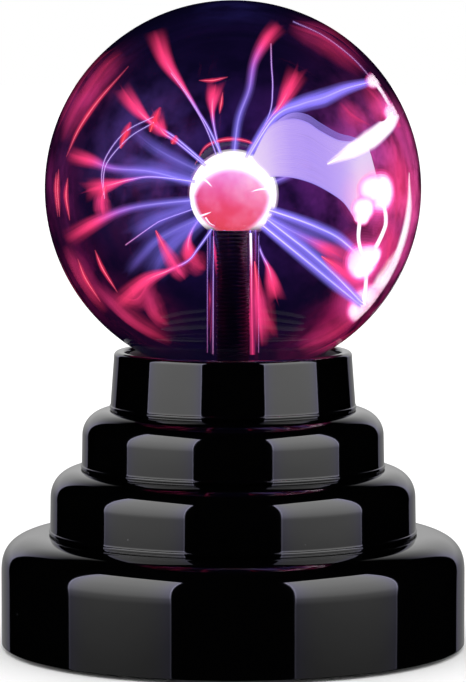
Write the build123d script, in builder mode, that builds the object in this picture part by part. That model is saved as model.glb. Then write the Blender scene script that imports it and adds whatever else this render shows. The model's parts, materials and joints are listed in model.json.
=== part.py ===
"""A three-inch plasma ball on a stepped base: a sealed glass globe with a glass-covered electrode, a glossy
moulded base that holds the high-voltage drive, and a battery bay in the underside.

Millimetres. +Z up. The origin is the centre of the plane that the rubber feet stand on. The front faces -Y,
and the switch and the power inlet are at the back, on +Y.
"""

import os
from math import cos, radians, sin, sqrt

from build123d import *

# ---------------------------------------------------------------- driving dimensions
FOOT_STANDOFF = 0.8  # the base's lower edge above the table
EDGE_Z = FOOT_STANDOFF

# The four tiers, from the lowest: wall radius at its foot, at its head, height of its top, shoulder radius.
TIER_1 = {"foot": 47.25, "head": 47.25, "top": EDGE_Z + 22.3, "round": 7.0}
TIER_2 = {"foot": 37.3, "head": 37.2, "top": EDGE_Z + 35.6, "round": 5.9}
TIER_3 = {"foot": 30.8, "head": 30.7, "top": EDGE_Z + 47.7, "round": 5.3}
COLLAR = {"foot": 24.9, "head": 24.2, "top": EDGE_Z + 59.6, "round": 1.0}
STEP_ROUND = 0.4  # the small round where a wall meets the tier below
SHELL_WALL = 2.0

GLOBE_RADIUS = 38.1
GLOBE_Z = EDGE_Z + 92.5
GLOBE_WALL = 1.3
NECK_RADIUS = 15.0
NECK_BOTTOM_Z = 44.0
LEDGE_Z = 54.6  # top of the ledge inside the collar
LEDGE_HOLE_RADIUS = 17.0
POCKET_RADIUS = 21.9

BALL_RADIUS = 8.8
BALL_Z = EDGE_Z + 91.3
STEM_RADIUS = 5.4
STEM_WALL = 0.9
COIL_RADIUS = 3.0
COIL_WIRE_RADIUS = 0.35
COIL_PITCH = 0.8
COIL_TURNS = 49
COIL_BOTTOM_Z = 46.7

COVER_Z = EDGE_Z + 0.6  # outer face of the bottom cover, set in from the shell's edge
COVER_THICKNESS = 2.0
COVER_RADIUS = 44.9
COVER_INNER_Z = COVER_Z + COVER_THICKNESS
SCREW_SPACING_X = 35.6
SCREW_SPACING_Y = 67.2
SCREW_POST_TOP_Z = COVER_INNER_Z + 2.0
FOOT_SPACING_X = 68.0
FOOT_SPACING_Y = 40.0
FOOT_RADIUS = 4.0
FOOT_RECESS = 0.3

BAY_LENGTH = 52.0  # inside, along X
BAY_WIDTH = 43.6
BAY_WALL = 1.5
BAY_CEILING_Z = 14.6
BAY_ROOF = 1.2
BAY_TOP_Z = BAY_CEILING_Z + BAY_ROOF
CELL_RADIUS = 5.25
CELL_LENGTH = 43.7
CELL_NUB = 0.8
CELL_PITCH = 10.8
CELL_Z = 9.05
PLATE_THICKNESS = 0.4
DIMPLE = 0.6

HINGE_X = -24.2
BARREL_RADIUS = 1.15
HINGE_Z = COVER_Z + BARREL_RADIUS
TRUNNION_RADIUS = 0.75
DOOR_GAP = 0.3
LATCH_WIDTH = 9.0

BOARD_Z = 18.5
BOARD_THICKNESS = 1.6
BOARD_TOP_Z = BOARD_Z + BOARD_THICKNESS
BOARD_LENGTH = 50.0
BOARD_WIDTH = 40.0
BOARD_SCREW_X = 44.0
BOARD_SCREW_Y = 32.0

FACET_Y = 45.0  # the flat at the back that carries the switch and the inlet
FACET_BOTTOM_Z = 4.0
FACET_TOP_Z = 15.5
FACET_WALL = 2.0
FACET_PAD_LENGTH = 28.0
FACET_CUT_LENGTH = 34.0  # longer than the flat, so that the cut runs out through the round wall
RIB_X = 13.6  # the two grooved ribs that hold the rear board
RIB_DEPTH = 7.6
SLOT_LENGTH = 5.7  # the switch slot: the knob's width and its travel, with play
SLOT_HEIGHT = 2.8
INLET_HOLE_RADIUS = 3.05
REAR_Z = 9.6  # height of the switch and the inlet
SWITCH_X = -7.5
SWITCH_TRAVEL = 2.5
INLET_X = 7.5
REAR_BOARD_Y = 37.25
REAR_BOARD_THICKNESS = 1.2

WIRE_RADIUS = 0.6
HV_LEAD_RADIUS = 0.8

os.makedirs("parts", exist_ok=True)


# ---------------------------------------------------------------- helpers
def save(piece, label):
    """Labels a finished piece and writes its STEP file."""
    piece.part.label = label
    export_step(piece.part, f"parts/{label}.step")


def corner(sketch, x, y):
    """The sketch's corner nearest a point of its own plane."""
    return sketch.vertices().sort_by_distance((x, y))[0]


def ball_point(radius, centre_z, degrees):
    """A point of a sphere's outline in the XZ plane, at an angle below or above its equator."""
    return (radius * cos(radians(degrees)), centre_z + radius * sin(radians(degrees)))


def drop_to(radius, reach):
    """How far below a sphere's centre its outline has a given distance from the axis."""
    return sqrt(radius**2 - reach**2)


def wire(label, points, radii, radius):
    """An insulated wire: straight runs joined by tangent arcs, one round section swept along them."""
    with BuildPart() as lead:
        with BuildLine() as route:
            path = FilletPolyline(*points, radius=radii)
        with BuildSketch(Plane(origin=path @ 0, z_dir=path % 0)):
            Circle(radius)
        sweep(path=route.wires()[0])
    print(label, "length", round(path.length, 1), "bend radii", radii)
    save(lead, label)


# ---------------------------------------------------------------- base shell
with BuildPart() as base_shell:
    with BuildSketch(Plane.XZ) as outside:
        with BuildLine():
            Polyline(
                (0, EDGE_Z),
                (TIER_1["foot"], EDGE_Z),
                (TIER_1["head"], TIER_1["top"]),
                (TIER_2["foot"], TIER_1["top"]),
                (TIER_2["head"], TIER_2["top"]),
                (TIER_3["foot"], TIER_2["top"]),
                (TIER_3["head"], TIER_3["top"]),
                (COLLAR["foot"], TIER_3["top"]),
                (COLLAR["head"], COLLAR["top"]),
                (0, COLLAR["top"]),
                close=True,
            )
        make_face()
        for tier in (TIER_1, TIER_2, TIER_3, COLLAR):
            fillet(corner(outside, tier["head"], tier["top"]), tier["round"])
        for upper, lower in ((TIER_2, TIER_1), (TIER_3, TIER_2), (COLLAR, TIER_3)):
            fillet(corner(outside, upper["foot"], lower["top"]), STEP_ROUND)
    revolve(axis=Axis.Z)
    with BuildSketch(Plane.XZ) as hollow:
        with BuildLine():
            Polyline(
                (0, EDGE_Z - 1),
                (TIER_1["foot"] - SHELL_WALL, EDGE_Z - 1),
                (TIER_1["foot"] - SHELL_WALL, TIER_1["top"] - SHELL_WALL),
                (TIER_2["foot"] - SHELL_WALL, TIER_1["top"] - SHELL_WALL),
                (TIER_2["foot"] - SHELL_WALL, TIER_2["top"] - SHELL_WALL),
                (TIER_3["foot"] - SHELL_WALL, TIER_2["top"] - SHELL_WALL),
                (TIER_3["foot"] - SHELL_WALL, TIER_3["top"] - SHELL_WALL),
                (COLLAR["foot"] - SHELL_WALL, TIER_3["top"] - SHELL_WALL),
                (COLLAR["foot"] - SHELL_WALL, LEDGE_Z - SHELL_WALL),
                (0, LEDGE_Z - SHELL_WALL),
                close=True,
            )
        make_face()
        for tier in (TIER_1, TIER_2, TIER_3):
            inner_round = tier["round"] - SHELL_WALL
            fillet(corner(hollow, tier["foot"] - SHELL_WALL, tier["top"] - SHELL_WALL), inner_round)
    revolve(axis=Axis.Z, mode=Mode.SUBTRACT)
    with BuildSketch(Plane.XZ) as pocket:
        with BuildLine():
            Polyline(
                (0, LEDGE_Z),
                (POCKET_RADIUS, LEDGE_Z),
                (POCKET_RADIUS, COLLAR["top"] - 0.6),
                (POCKET_RADIUS + 0.6, COLLAR["top"] + 1),
                (0, COLLAR["top"] + 1),
                close=True,
            )
        make_face()
    revolve(axis=Axis.Z, mode=Mode.SUBTRACT)
    with BuildSketch(Plane.XY.offset(LEDGE_Z - SHELL_WALL - 1)):
        Circle(LEDGE_HOLE_RADIUS)
    extrude(amount=SHELL_WALL + 2, mode=Mode.SUBTRACT)
    # Screw bosses that hang from the lowest tier's shoulder.
    with BuildSketch(Plane.XY.offset(SCREW_POST_TOP_Z + 0.1)):
        with GridLocations(SCREW_SPACING_X, SCREW_SPACING_Y, 2, 2):
            Circle(3.5)
    extrude(until=Until.NEXT)
    with BuildSketch(Plane.XY.offset(SCREW_POST_TOP_Z + 0.1)):
        with GridLocations(SCREW_SPACING_X, SCREW_SPACING_Y, 2, 2):
            Circle(1.05)
    extrude(amount=11.5, mode=Mode.SUBTRACT)
    # The thickened flat at the back, with the switch slot, the inlet hole and two grooved ribs.
    facet_height = FACET_TOP_Z - FACET_BOTTOM_Z
    facet_mid_z = (FACET_TOP_Z + FACET_BOTTOM_Z) / 2
    with Locations((0, FACET_Y - FACET_WALL / 2, facet_mid_z)):
        Box(FACET_PAD_LENGTH, FACET_WALL, facet_height + 0.8)
    for side in (-1, 1):
        with Locations((side * RIB_X, FACET_Y - 1.0 - RIB_DEPTH / 2, facet_mid_z)):
            Box(1.6, RIB_DEPTH, facet_height)
        with Locations((side * (RIB_X - 0.6), REAR_BOARD_Y + REAR_BOARD_THICKNESS / 2, facet_mid_z)):
            Box(1.4, REAR_BOARD_THICKNESS + 0.1, facet_height + 4, mode=Mode.SUBTRACT)
    with Locations((0, FACET_Y + 2.5, facet_mid_z)):
        Box(FACET_CUT_LENGTH, 5.0, facet_height, mode=Mode.SUBTRACT)
    with BuildSketch(Plane.XZ.offset(-FACET_Y - 1)):
        with Locations((SWITCH_X, REAR_Z)):
            RectangleRounded(SLOT_LENGTH, SLOT_HEIGHT, 0.5)
        with Locations((INLET_X, REAR_Z)):
            Circle(INLET_HOLE_RADIUS)
    extrude(amount=FACET_WALL + 2, mode=Mode.SUBTRACT)
save(base_shell, "base_shell")

# ---------------------------------------------------------------- bottom cover with the battery bay
bay_half_length = BAY_LENGTH / 2
bay_half_width = BAY_WIDTH / 2
with BuildPart() as bottom_cover:
    with BuildSketch(Plane.XY.offset(COVER_Z)):
        Circle(COVER_RADIUS)
    extrude(amount=COVER_THICKNESS)
    with BuildSketch(Plane.XY.offset(COVER_Z)):
        RectangleRounded(BAY_LENGTH + 2 * BAY_WALL, BAY_WIDTH + 2 * BAY_WALL, 1.5)
    extrude(amount=BAY_TOP_Z - COVER_Z)
    with BuildSketch(Plane.XY.offset(COVER_INNER_Z)):
        with GridLocations(SCREW_SPACING_X, SCREW_SPACING_Y, 2, 2):
            Circle(4.0)
    extrude(amount=SCREW_POST_TOP_Z - COVER_INNER_Z)
    with BuildSketch(Plane.XY.offset(BAY_TOP_Z)):
        with GridLocations(BOARD_SCREW_X, BOARD_SCREW_Y, 2, 2):
            Circle(2.5)
    extrude(amount=BOARD_Z - BAY_TOP_Z)
    with BuildSketch(Plane.XY.offset(COVER_Z)):
        Rectangle(BAY_LENGTH, BAY_WIDTH)
    extrude(amount=BAY_CEILING_Z - COVER_Z, mode=Mode.SUBTRACT)
    # Ribs on the bay's ceiling that part the cells.
    for row in (-1, 0, 1):
        with Locations((0, row * CELL_PITCH, BAY_CEILING_Z - 0.9)):
            Box(30.0, 1.2, 1.8)
    with Locations(Plane.XY.offset(COVER_Z).rotated((180, 0, 0))):
        with GridLocations(SCREW_SPACING_X, SCREW_SPACING_Y, 2, 2):
            CounterBoreHole(radius=1.4, counter_bore_radius=2.8, counter_bore_depth=2.1, depth=5.0)
    with BuildSketch(Plane.XY.offset(BOARD_Z)):
        with GridLocations(BOARD_SCREW_X, BOARD_SCREW_Y, 2, 2):
            Circle(0.85)
    extrude(amount=-2.9, mode=Mode.SUBTRACT)
    with BuildSketch(Plane.XY.offset(COVER_Z)):
        with GridLocations(FOOT_SPACING_X, FOOT_SPACING_Y, 2, 2):
            Circle(FOOT_RADIUS + 0.1)
    extrude(amount=FOOT_RECESS, mode=Mode.SUBTRACT)
    # Sockets for the door's trunnions, blind in the bay's side walls.
    with BuildSketch(Plane.XZ.offset(-bay_half_width - 1.2)):
        with Locations((HINGE_X, HINGE_Z)):
            Circle(TRUNNION_RADIUS + 0.08)
    extrude(amount=BAY_WIDTH + 2.4, mode=Mode.SUBTRACT)
    # Pocket for the latch hook, and a scoop for a fingernail in front of it.
    with Locations((bay_half_length + 0.4, 0, COVER_INNER_Z + 0.6)):
        Box(0.8, LATCH_WIDTH, 1.0, mode=Mode.SUBTRACT)
    with Locations((bay_half_length + 1.0, 0, COVER_Z - 3.6)):
        Sphere(5.0, mode=Mode.SUBTRACT)
    # Slots in the roof for the two solder tabs.
    for side in (-1, 1):
        with Locations((bay_half_length - PLATE_THICKNESS / 2, side * 1.5 * CELL_PITCH, BAY_TOP_Z)):
            Box(PLATE_THICKNESS + 0.1, 3.2, 6.0, mode=Mode.SUBTRACT)
save(bottom_cover, "bottom_cover")

# ---------------------------------------------------------------- battery door
door_end_x = bay_half_length - DOOR_GAP
door_half_width = bay_half_width - DOOR_GAP
with BuildPart() as battery_door:
    with Locations(((HINGE_X + door_end_x) / 2, 0, COVER_Z + COVER_THICKNESS / 2)):
        Box(door_end_x - HINGE_X, 2 * door_half_width, COVER_THICKNESS)
    with BuildSketch(Plane.XZ.offset(-door_half_width)):
        with Locations((HINGE_X, HINGE_Z)):
            Circle(BARREL_RADIUS)
    extrude(amount=2 * door_half_width)
    with BuildSketch(Plane.XZ.offset(-bay_half_width - 1.0)):
        with Locations((HINGE_X, HINGE_Z)):
            Circle(TRUNNION_RADIUS)
    extrude(amount=BAY_WIDTH + 2.0)
    # The springy latch tongue is freed by two slots. Its hook stands just clear of the bay's lip.
    for side in (-1, 1):
        with Locations((door_end_x - 3.5, side * (LATCH_WIDTH / 2 + 0.9), COVER_Z + COVER_THICKNESS / 2)):
            Box(7.2, 0.8, COVER_THICKNESS, mode=Mode.SUBTRACT)
    with Locations((door_end_x - 0.45, 0, COVER_INNER_Z + 0.45)):
        Box(1.2, LATCH_WIDTH - 1.0, 0.9)
    # Grip ridges on the tongue, and two stiffening ribs inside.
    for step in range(4):
        with Locations((door_end_x - 1.2 - 1.4 * step, 0, COVER_Z - 0.15)):
            Box(0.6, LATCH_WIDTH - 2.0, 0.3)
    for side in (-1, 1):
        with Locations((0, side * CELL_PITCH, COVER_INNER_Z + 0.1)):
            Box(38.0, 1.0, 0.2)
save(battery_door, "battery_door")

# ---------------------------------------------------------------- cells, contact springs and contact plates
end_wall_x = bay_half_length - PLATE_THICKNESS
for number, (row, way) in enumerate(((1.5, 1), (0.5, -1), (-0.5, 1), (-1.5, -1)), start=1):
    cell_y = row * CELL_PITCH
    tip_x = end_wall_x - DIMPLE
    tail_x = tip_x - CELL_LENGTH - CELL_NUB
    with BuildPart() as battery_cell:
        with BuildSketch(Plane.YZ.offset(tail_x)):
            with Locations((way * cell_y, CELL_Z)):
                Circle(CELL_RADIUS)
        extrude(amount=CELL_LENGTH)
        fillet(battery_cell.edges().filter_by(GeomType.CIRCLE), 0.5)
        with BuildSketch(Plane.YZ.offset(tip_x - CELL_NUB)):
            with Locations((way * cell_y, CELL_Z)):
                Circle(1.9)
        extrude(amount=CELL_NUB)
    with BuildPart() as turned_cell:
        add(battery_cell.part.rotate(Axis.Z, 0 if way > 0 else 180))
    save(turned_cell, f"battery_cell_{number}")

    # A cell's spring sits behind its flat end: three turns that narrow towards the cell.
    spring_length = tail_x + end_wall_x - 0.1
    with BuildPart() as contact_spring:
        with BuildLine() as turns:
            Helix(
                pitch=spring_length / 3.6,
                height=spring_length - 0.7,
                radius=3.6,
                center=(0.35 - end_wall_x, way * cell_y, CELL_Z),
                direction=(1, 0, 0),
                cone_angle=-16,
            )
        turns_wire = turns.wires()[0]
        with BuildSketch(Plane(origin=turns_wire @ 0, z_dir=turns_wire % 0)):
            Circle(0.3)
        sweep(path=turns_wire, is_frenet=True)
    with BuildPart() as turned_spring:
        add(contact_spring.part.rotate(Axis.Z, 0 if way > 0 else 180))
    save(turned_spring, f"contact_spring_{number}")

# Each plate: its end wall, its rows, the rows it touches with a dimple, whether it has a solder tab.
PLATES = (
    (1, (1.5,), (1.5,), True),
    (1, (0.5, -0.5), (-0.5,), False),
    (1, (-1.5,), (), True),
    (-1, (1.5, 0.5), (0.5,), False),
    (-1, (-0.5, -1.5), (-1.5,), False),
)
for number, (wall, rows, dimpled, has_tab) in enumerate(PLATES, start=1):
    plate_mid_y = CELL_PITCH * sum(rows) / len(rows)
    plate_width = CELL_PITCH * (len(rows) - 1) + 9.4
    plate_x = wall * (end_wall_x + PLATE_THICKNESS / 2)
    with BuildPart() as contact_plate:
        with Locations((plate_x, plate_mid_y, CELL_Z + 0.4)):
            Box(PLATE_THICKNESS, plate_width, 9.6)
        fillet(contact_plate.edges().filter_by(Axis.X), 1.2)
        for row in dimpled:
            with BuildSketch(Plane.YZ.offset(wall * end_wall_x)):
                with Locations((row * CELL_PITCH, CELL_Z)):
                    Circle(2.2)
            extrude(amount=-wall * DIMPLE, taper=30)
        if has_tab:
            with Locations((plate_x, plate_mid_y, BAY_CEILING_Z + 1.0)):
                Box(PLATE_THICKNESS, 2.8, 4.6)
    save(contact_plate, f"contact_plate_{number}")

# ---------------------------------------------------------------- rubber feet and case screws
foot_places = GridLocations(FOOT_SPACING_X, FOOT_SPACING_Y, 2, 2).locations
for number, place in enumerate(foot_places, start=1):
    with BuildPart() as rubber_foot:
        with BuildSketch(Plane.XY):
            with Locations(place):
                Circle(FOOT_RADIUS)
        extrude(amount=COVER_Z + FOOT_RECESS)
        fillet(rubber_foot.edges().filter_by(GeomType.CIRCLE).group_by(Axis.Z)[0], 0.4)
    save(rubber_foot, f"rubber_foot_{number}")

SCREW_HEAD_Z = COVER_Z + 2.1
with BuildPart() as case_screws:
    with GridLocations(SCREW_SPACING_X, SCREW_SPACING_Y, 2, 2):
        with Locations((0, 0, SCREW_HEAD_Z - 0.8)):
            Cylinder(2.4, 1.6)
        with Locations((0, 0, SCREW_HEAD_Z + 5.5)):
            Cylinder(1.0, 11.0)
    fillet(case_screws.edges().filter_by(GeomType.CIRCLE).group_by(Axis.Z)[0], 0.5)
    with GridLocations(SCREW_SPACING_X, SCREW_SPACING_Y, 2, 2):
        with Locations((0, 0, SCREW_HEAD_Z - 1.3)):
            Box(2.6, 0.5, 0.9, mode=Mode.SUBTRACT)
            Box(0.5, 2.6, 0.9, mode=Mode.SUBTRACT)
save(case_screws, "case_screws")

# ---------------------------------------------------------------- glass globe
globe_inner = GLOBE_RADIUS - GLOBE_WALL
neck_inner = NECK_RADIUS - GLOBE_WALL
neck_top_z = GLOBE_Z - drop_to(GLOBE_RADIUS, NECK_RADIUS)
neck_inner_top_z = GLOBE_Z - drop_to(globe_inner, neck_inner)
with BuildPart() as glass_globe:
    with BuildSketch(Plane.XZ) as globe_section:
        with BuildLine():
            Line((neck_inner, NECK_BOTTOM_Z), (NECK_RADIUS, NECK_BOTTOM_Z))
            Line((NECK_RADIUS, NECK_BOTTOM_Z), (NECK_RADIUS, neck_top_z))
            ThreePointArc(
                (NECK_RADIUS, neck_top_z),
                ball_point(GLOBE_RADIUS, GLOBE_Z, 10),
                (0, GLOBE_Z + GLOBE_RADIUS),
            )
            Line((0, GLOBE_Z + GLOBE_RADIUS), (0, GLOBE_Z + globe_inner))
            ThreePointArc(
                (0, GLOBE_Z + globe_inner),
                ball_point(globe_inner, GLOBE_Z, 10),
                (neck_inner, neck_inner_top_z),
            )
            Line((neck_inner, neck_inner_top_z), (neck_inner, NECK_BOTTOM_Z))
        make_face()
        fillet(corner(globe_section, NECK_RADIUS, neck_top_z), 2.0)
        fillet(corner(globe_section, neck_inner, neck_inner_top_z), 3.0)
    revolve(axis=Axis.Z)
save(glass_globe, "glass_globe")

# ---------------------------------------------------------------- inner glass: ball, stem and flare
ball_inner = BALL_RADIUS - STEM_WALL
stem_inner = STEM_RADIUS - STEM_WALL
ball_foot_z = BALL_Z - drop_to(BALL_RADIUS, STEM_RADIUS)
ball_inner_foot_z = BALL_Z - drop_to(ball_inner, stem_inner)
FLARE_RADIUS = 3.0
flare_z = NECK_BOTTOM_Z + 0.4
flare_top_z = flare_z + STEM_WALL
flare_x = STEM_RADIUS + FLARE_RADIUS
flare_centre_z = flare_top_z + FLARE_RADIUS
with BuildPart() as electrode_glass:
    with BuildSketch(Plane.XZ) as stem_section:
        with BuildLine():
            Line((flare_x, flare_z), (neck_inner, flare_z))
            Line((neck_inner, flare_z), (neck_inner, flare_top_z))
            Line((neck_inner, flare_top_z), (flare_x, flare_top_z))
            CenterArc((flare_x, flare_centre_z), FLARE_RADIUS, 270, -90)
            Line((STEM_RADIUS, flare_centre_z), (STEM_RADIUS, ball_foot_z))
            ThreePointArc(
                (STEM_RADIUS, ball_foot_z),
                ball_point(BALL_RADIUS, BALL_Z, 10),
                (0, BALL_Z + BALL_RADIUS),
            )
            Line((0, BALL_Z + BALL_RADIUS), (0, BALL_Z + ball_inner))
            ThreePointArc(
                (0, BALL_Z + ball_inner),
                ball_point(ball_inner, BALL_Z, 10),
                (stem_inner, ball_inner_foot_z),
            )
            Line((stem_inner, ball_inner_foot_z), (stem_inner, flare_centre_z))
            CenterArc((flare_x, flare_centre_z), FLARE_RADIUS + STEM_WALL, 180, 90)
        make_face()
        fillet(corner(stem_section, STEM_RADIUS, ball_foot_z), 0.8)
    revolve(axis=Axis.Z)
    # The sealed-off exhaust tip under the flare.
    with BuildSketch(Plane.XY.offset(flare_z)):
        with Locations((10.6, 0)):
            Circle(1.5)
    extrude(amount=-5.0)
    fillet(electrode_glass.edges().filter_by(GeomType.CIRCLE).group_by(Axis.Z)[0], 1.4)
save(electrode_glass, "electrode_glass")

COATING_THICKNESS = 0.25
coating_outer = ball_inner - 0.05
coating_inner = coating_outer - COATING_THICKNESS
COATING_EDGE_DEGREES = -54
with BuildPart() as electrode_coating:
    with BuildSketch(Plane.XZ):
        with BuildLine():
            ThreePointArc(
                ball_point(coating_outer, BALL_Z, COATING_EDGE_DEGREES),
                ball_point(coating_outer, BALL_Z, 10),
                (0, BALL_Z + coating_outer),
            )
            Line((0, BALL_Z + coating_outer), (0, BALL_Z + coating_inner))
            ThreePointArc(
                (0, BALL_Z + coating_inner),
                ball_point(coating_inner, BALL_Z, 10),
                ball_point(coating_inner, BALL_Z, COATING_EDGE_DEGREES),
            )
            Line(
                ball_point(coating_inner, BALL_Z, COATING_EDGE_DEGREES),
                ball_point(coating_outer, BALL_Z, COATING_EDGE_DEGREES),
            )
        make_face()
    revolve(axis=Axis.Z)
save(electrode_coating, "electrode_coating")

with BuildPart() as electrode_coil:
    with BuildLine(Plane.XY.offset(COIL_BOTTOM_Z)) as coil_turns:
        Helix(pitch=COIL_PITCH, height=COIL_PITCH * COIL_TURNS, radius=COIL_RADIUS)
    coil_wire = coil_turns.wires()[0]
    with BuildSketch(Plane(origin=coil_wire @ 0, z_dir=coil_wire % 0)):
        Circle(COIL_WIRE_RADIUS)
    sweep(path=coil_wire, is_frenet=True)
save(electrode_coil, "electrode_coil")

# ---------------------------------------------------------------- seal, adhesive and stem plug
with BuildPart() as globe_seal:
    with BuildSketch(Plane.XZ):
        with BuildLine():
            Polyline(
                (LEDGE_HOLE_RADIUS + 0.6, LEDGE_Z),
                (POCKET_RADIUS - 0.1, LEDGE_Z),
                (POCKET_RADIUS - 0.1, COLLAR["top"] - 1.0),
                (POCKET_RADIUS - 1.0, COLLAR["top"] - 0.5),
                (LEDGE_HOLE_RADIUS + 0.6, COLLAR["top"] - 0.5),
                close=True,
            )
        make_face()
    revolve(axis=Axis.Z)
    with Locations((0, 0, GLOBE_Z)):
        Sphere(GLOBE_RADIUS + 0.1, mode=Mode.SUBTRACT)
save(globe_seal, "globe_seal")

with BuildPart() as neck_adhesive:
    with BuildSketch(Plane.XZ) as bead:
        with BuildLine():
            Polyline(
                (NECK_RADIUS + 0.05, LEDGE_Z - 5.0),
                (NECK_RADIUS + 3.6, LEDGE_Z - SHELL_WALL - 0.05),
                (LEDGE_HOLE_RADIUS - 0.05, LEDGE_Z - SHELL_WALL - 0.05),
                (LEDGE_HOLE_RADIUS - 0.05, LEDGE_Z - 0.4),
                (NECK_RADIUS + 0.05, LEDGE_Z - 0.4),
                close=True,
            )
        make_face()
    revolve(axis=Axis.Z)
save(neck_adhesive, "neck_adhesive")

PLUG_BOTTOM_Z = 41.5
with BuildPart() as stem_plug:
    with BuildSketch(Plane.XY.offset(PLUG_BOTTOM_Z)):
        Circle(6.6)
    extrude(amount=2.6)
    with BuildSketch(Plane.XY.offset(PLUG_BOTTOM_Z + 2.6)):
        Circle(stem_inner - 0.15)
    extrude(amount=1.9)
    with BuildSketch(Plane.XY.offset(PLUG_BOTTOM_Z)):
        Circle(HV_LEAD_RADIUS + 0.05)
    extrude(amount=4.5, mode=Mode.SUBTRACT)
save(stem_plug, "stem_plug")

# ---------------------------------------------------------------- main board and its parts
with BuildPart() as main_board:
    with BuildSketch(Plane.XY.offset(BOARD_Z)):
        RectangleRounded(BOARD_LENGTH, BOARD_WIDTH, 2.0)
        with GridLocations(BOARD_SCREW_X, BOARD_SCREW_Y, 2, 2):
            Circle(1.2, mode=Mode.SUBTRACT)
    extrude(amount=BOARD_THICKNESS)
save(main_board, "main_board")

with BuildPart() as board_screws:
    with GridLocations(BOARD_SCREW_X, BOARD_SCREW_Y, 2, 2):
        with Locations((0, 0, BOARD_TOP_Z + 0.6)):
            Cylinder(1.9, 1.2)
        with Locations((0, 0, BOARD_TOP_Z - 2.0)):
            Cylinder(0.8, 4.0)
save(board_screws, "board_screws")

CORE_X, CORE_Y = -11.0, -4.0
CORE_WIDTH, CORE_DEPTH, CORE_HEIGHT = 18.0, 5.6, 15.0
CORE_Z = BOARD_TOP_Z + 2.0
YOKE, CENTRE_LEG = 2.8, 4.6
window_width = (CORE_WIDTH - 2 * YOKE - CENTRE_LEG) / 2
window_height = CORE_HEIGHT - 2 * YOKE
with BuildPart() as transformer_core:
    with Locations((CORE_X, CORE_Y, CORE_Z + CORE_HEIGHT / 2)):
        Box(CORE_WIDTH, CORE_DEPTH, CORE_HEIGHT)
        for side in (-1, 1):
            with Locations((side * (CENTRE_LEG + window_width) / 2, 0, 0)):
                Box(window_width, CORE_DEPTH, window_height, mode=Mode.SUBTRACT)
        Box(CORE_WIDTH, CORE_DEPTH, 0.1, mode=Mode.SUBTRACT)
save(transformer_core, "transformer_core")

bobbin_z = CORE_Z + YOKE + 0.1
bobbin_height = window_height - 0.2
flange_width = CENTRE_LEG + 2 * window_width - 0.3
FLANGE_DEPTH = 13.0
with BuildPart() as transformer_bobbin:
    with Locations((CORE_X, CORE_Y, bobbin_z + bobbin_height / 2)):
        Box(CENTRE_LEG + 1.6, CORE_DEPTH + 1.6, bobbin_height)
        for side in (-1, 0, 1):
            with Locations((0, 0, side * (bobbin_height - 0.8) / 2)):
                Box(flange_width, FLANGE_DEPTH, 0.8)
        Box(CENTRE_LEG + 0.3, CORE_DEPTH + 0.3, bobbin_height, mode=Mode.SUBTRACT)
    # The feet that carry the bobbin over the lower yoke down to the board.
    for side in (-1, 1):
        with Locations((CORE_X, CORE_Y + side * (FLANGE_DEPTH / 2 - 0.9), (BOARD_TOP_Z + bobbin_z) / 2)):
            Box(flange_width, 1.8, bobbin_z - BOARD_TOP_Z)
save(transformer_bobbin, "transformer_bobbin")

winding_height = (bobbin_height - 3 * 0.8) / 2 - 0.1
with BuildPart() as transformer_windings:
    for side in (-1, 1):
        winding_z = bobbin_z + bobbin_height / 2 + side * (winding_height + 0.9) / 2
        with BuildSketch(Plane.XY.offset(winding_z - winding_height / 2)):
            with Locations((CORE_X, CORE_Y)):
                RectangleRounded(flange_width - 0.6, FLANGE_DEPTH - 1.0, 2.0)
                Rectangle(CENTRE_LEG + 1.7, CORE_DEPTH + 1.7, mode=Mode.SUBTRACT)
        extrude(amount=winding_height)
save(transformer_windings, "transformer_windings")

SINK_X, SINK_Y = 15.0, -5.0
SINK_HEIGHT = 17.0
TRANSISTOR_HOLE_Z = BOARD_TOP_Z + 13.0
with BuildPart() as heat_sink:
    with BuildSketch(Plane.XY.offset(BOARD_TOP_Z)):
        with Locations((SINK_X, SINK_Y)):
            Rectangle(1.6, 18.0)
        for fin in (-1, 1):
            with Locations((SINK_X + 2.4, SINK_Y + fin * 8.3)):
                Rectangle(4.0, 1.4)
    extrude(amount=SINK_HEIGHT)
    with BuildSketch(Plane.YZ.offset(SINK_X - 2)):
        with Locations((SINK_Y, TRANSISTOR_HOLE_Z)):
            Circle(1.6)
    extrude(amount=4.0, mode=Mode.SUBTRACT)
save(heat_sink, "heat_sink")

transistor_x = SINK_X - 0.8 - 1.4
with BuildPart() as drive_transistor:
    with Locations((transistor_x, SINK_Y, BOARD_TOP_Z + 10.0)):
        Box(2.7, 8.0, 11.0)
    with BuildSketch(Plane.YZ.offset(transistor_x - 2)):
        with Locations((SINK_Y, TRANSISTOR_HOLE_Z)):
            Circle(1.6)
    extrude(amount=4.0, mode=Mode.SUBTRACT)
    for leg in (-1, 0, 1):
        with Locations((transistor_x, SINK_Y + 2.3 * leg, BOARD_TOP_Z + 2.3)):
            Box(0.5, 0.8, 4.5)
save(drive_transistor, "drive_transistor")

with BuildPart() as transistor_screw:
    with BuildSketch(Plane.YZ.offset(transistor_x - 1.4)):
        with Locations((SINK_Y, TRANSISTOR_HOLE_Z)):
            Circle(2.7)
    extrude(amount=-1.6)
    with BuildSketch(Plane.YZ.offset(transistor_x - 1.4)):
        with Locations((SINK_Y, TRANSISTOR_HOLE_Z)):
            Circle(1.45)
    extrude(amount=6.5)
save(transistor_screw, "transistor_screw")

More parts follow.
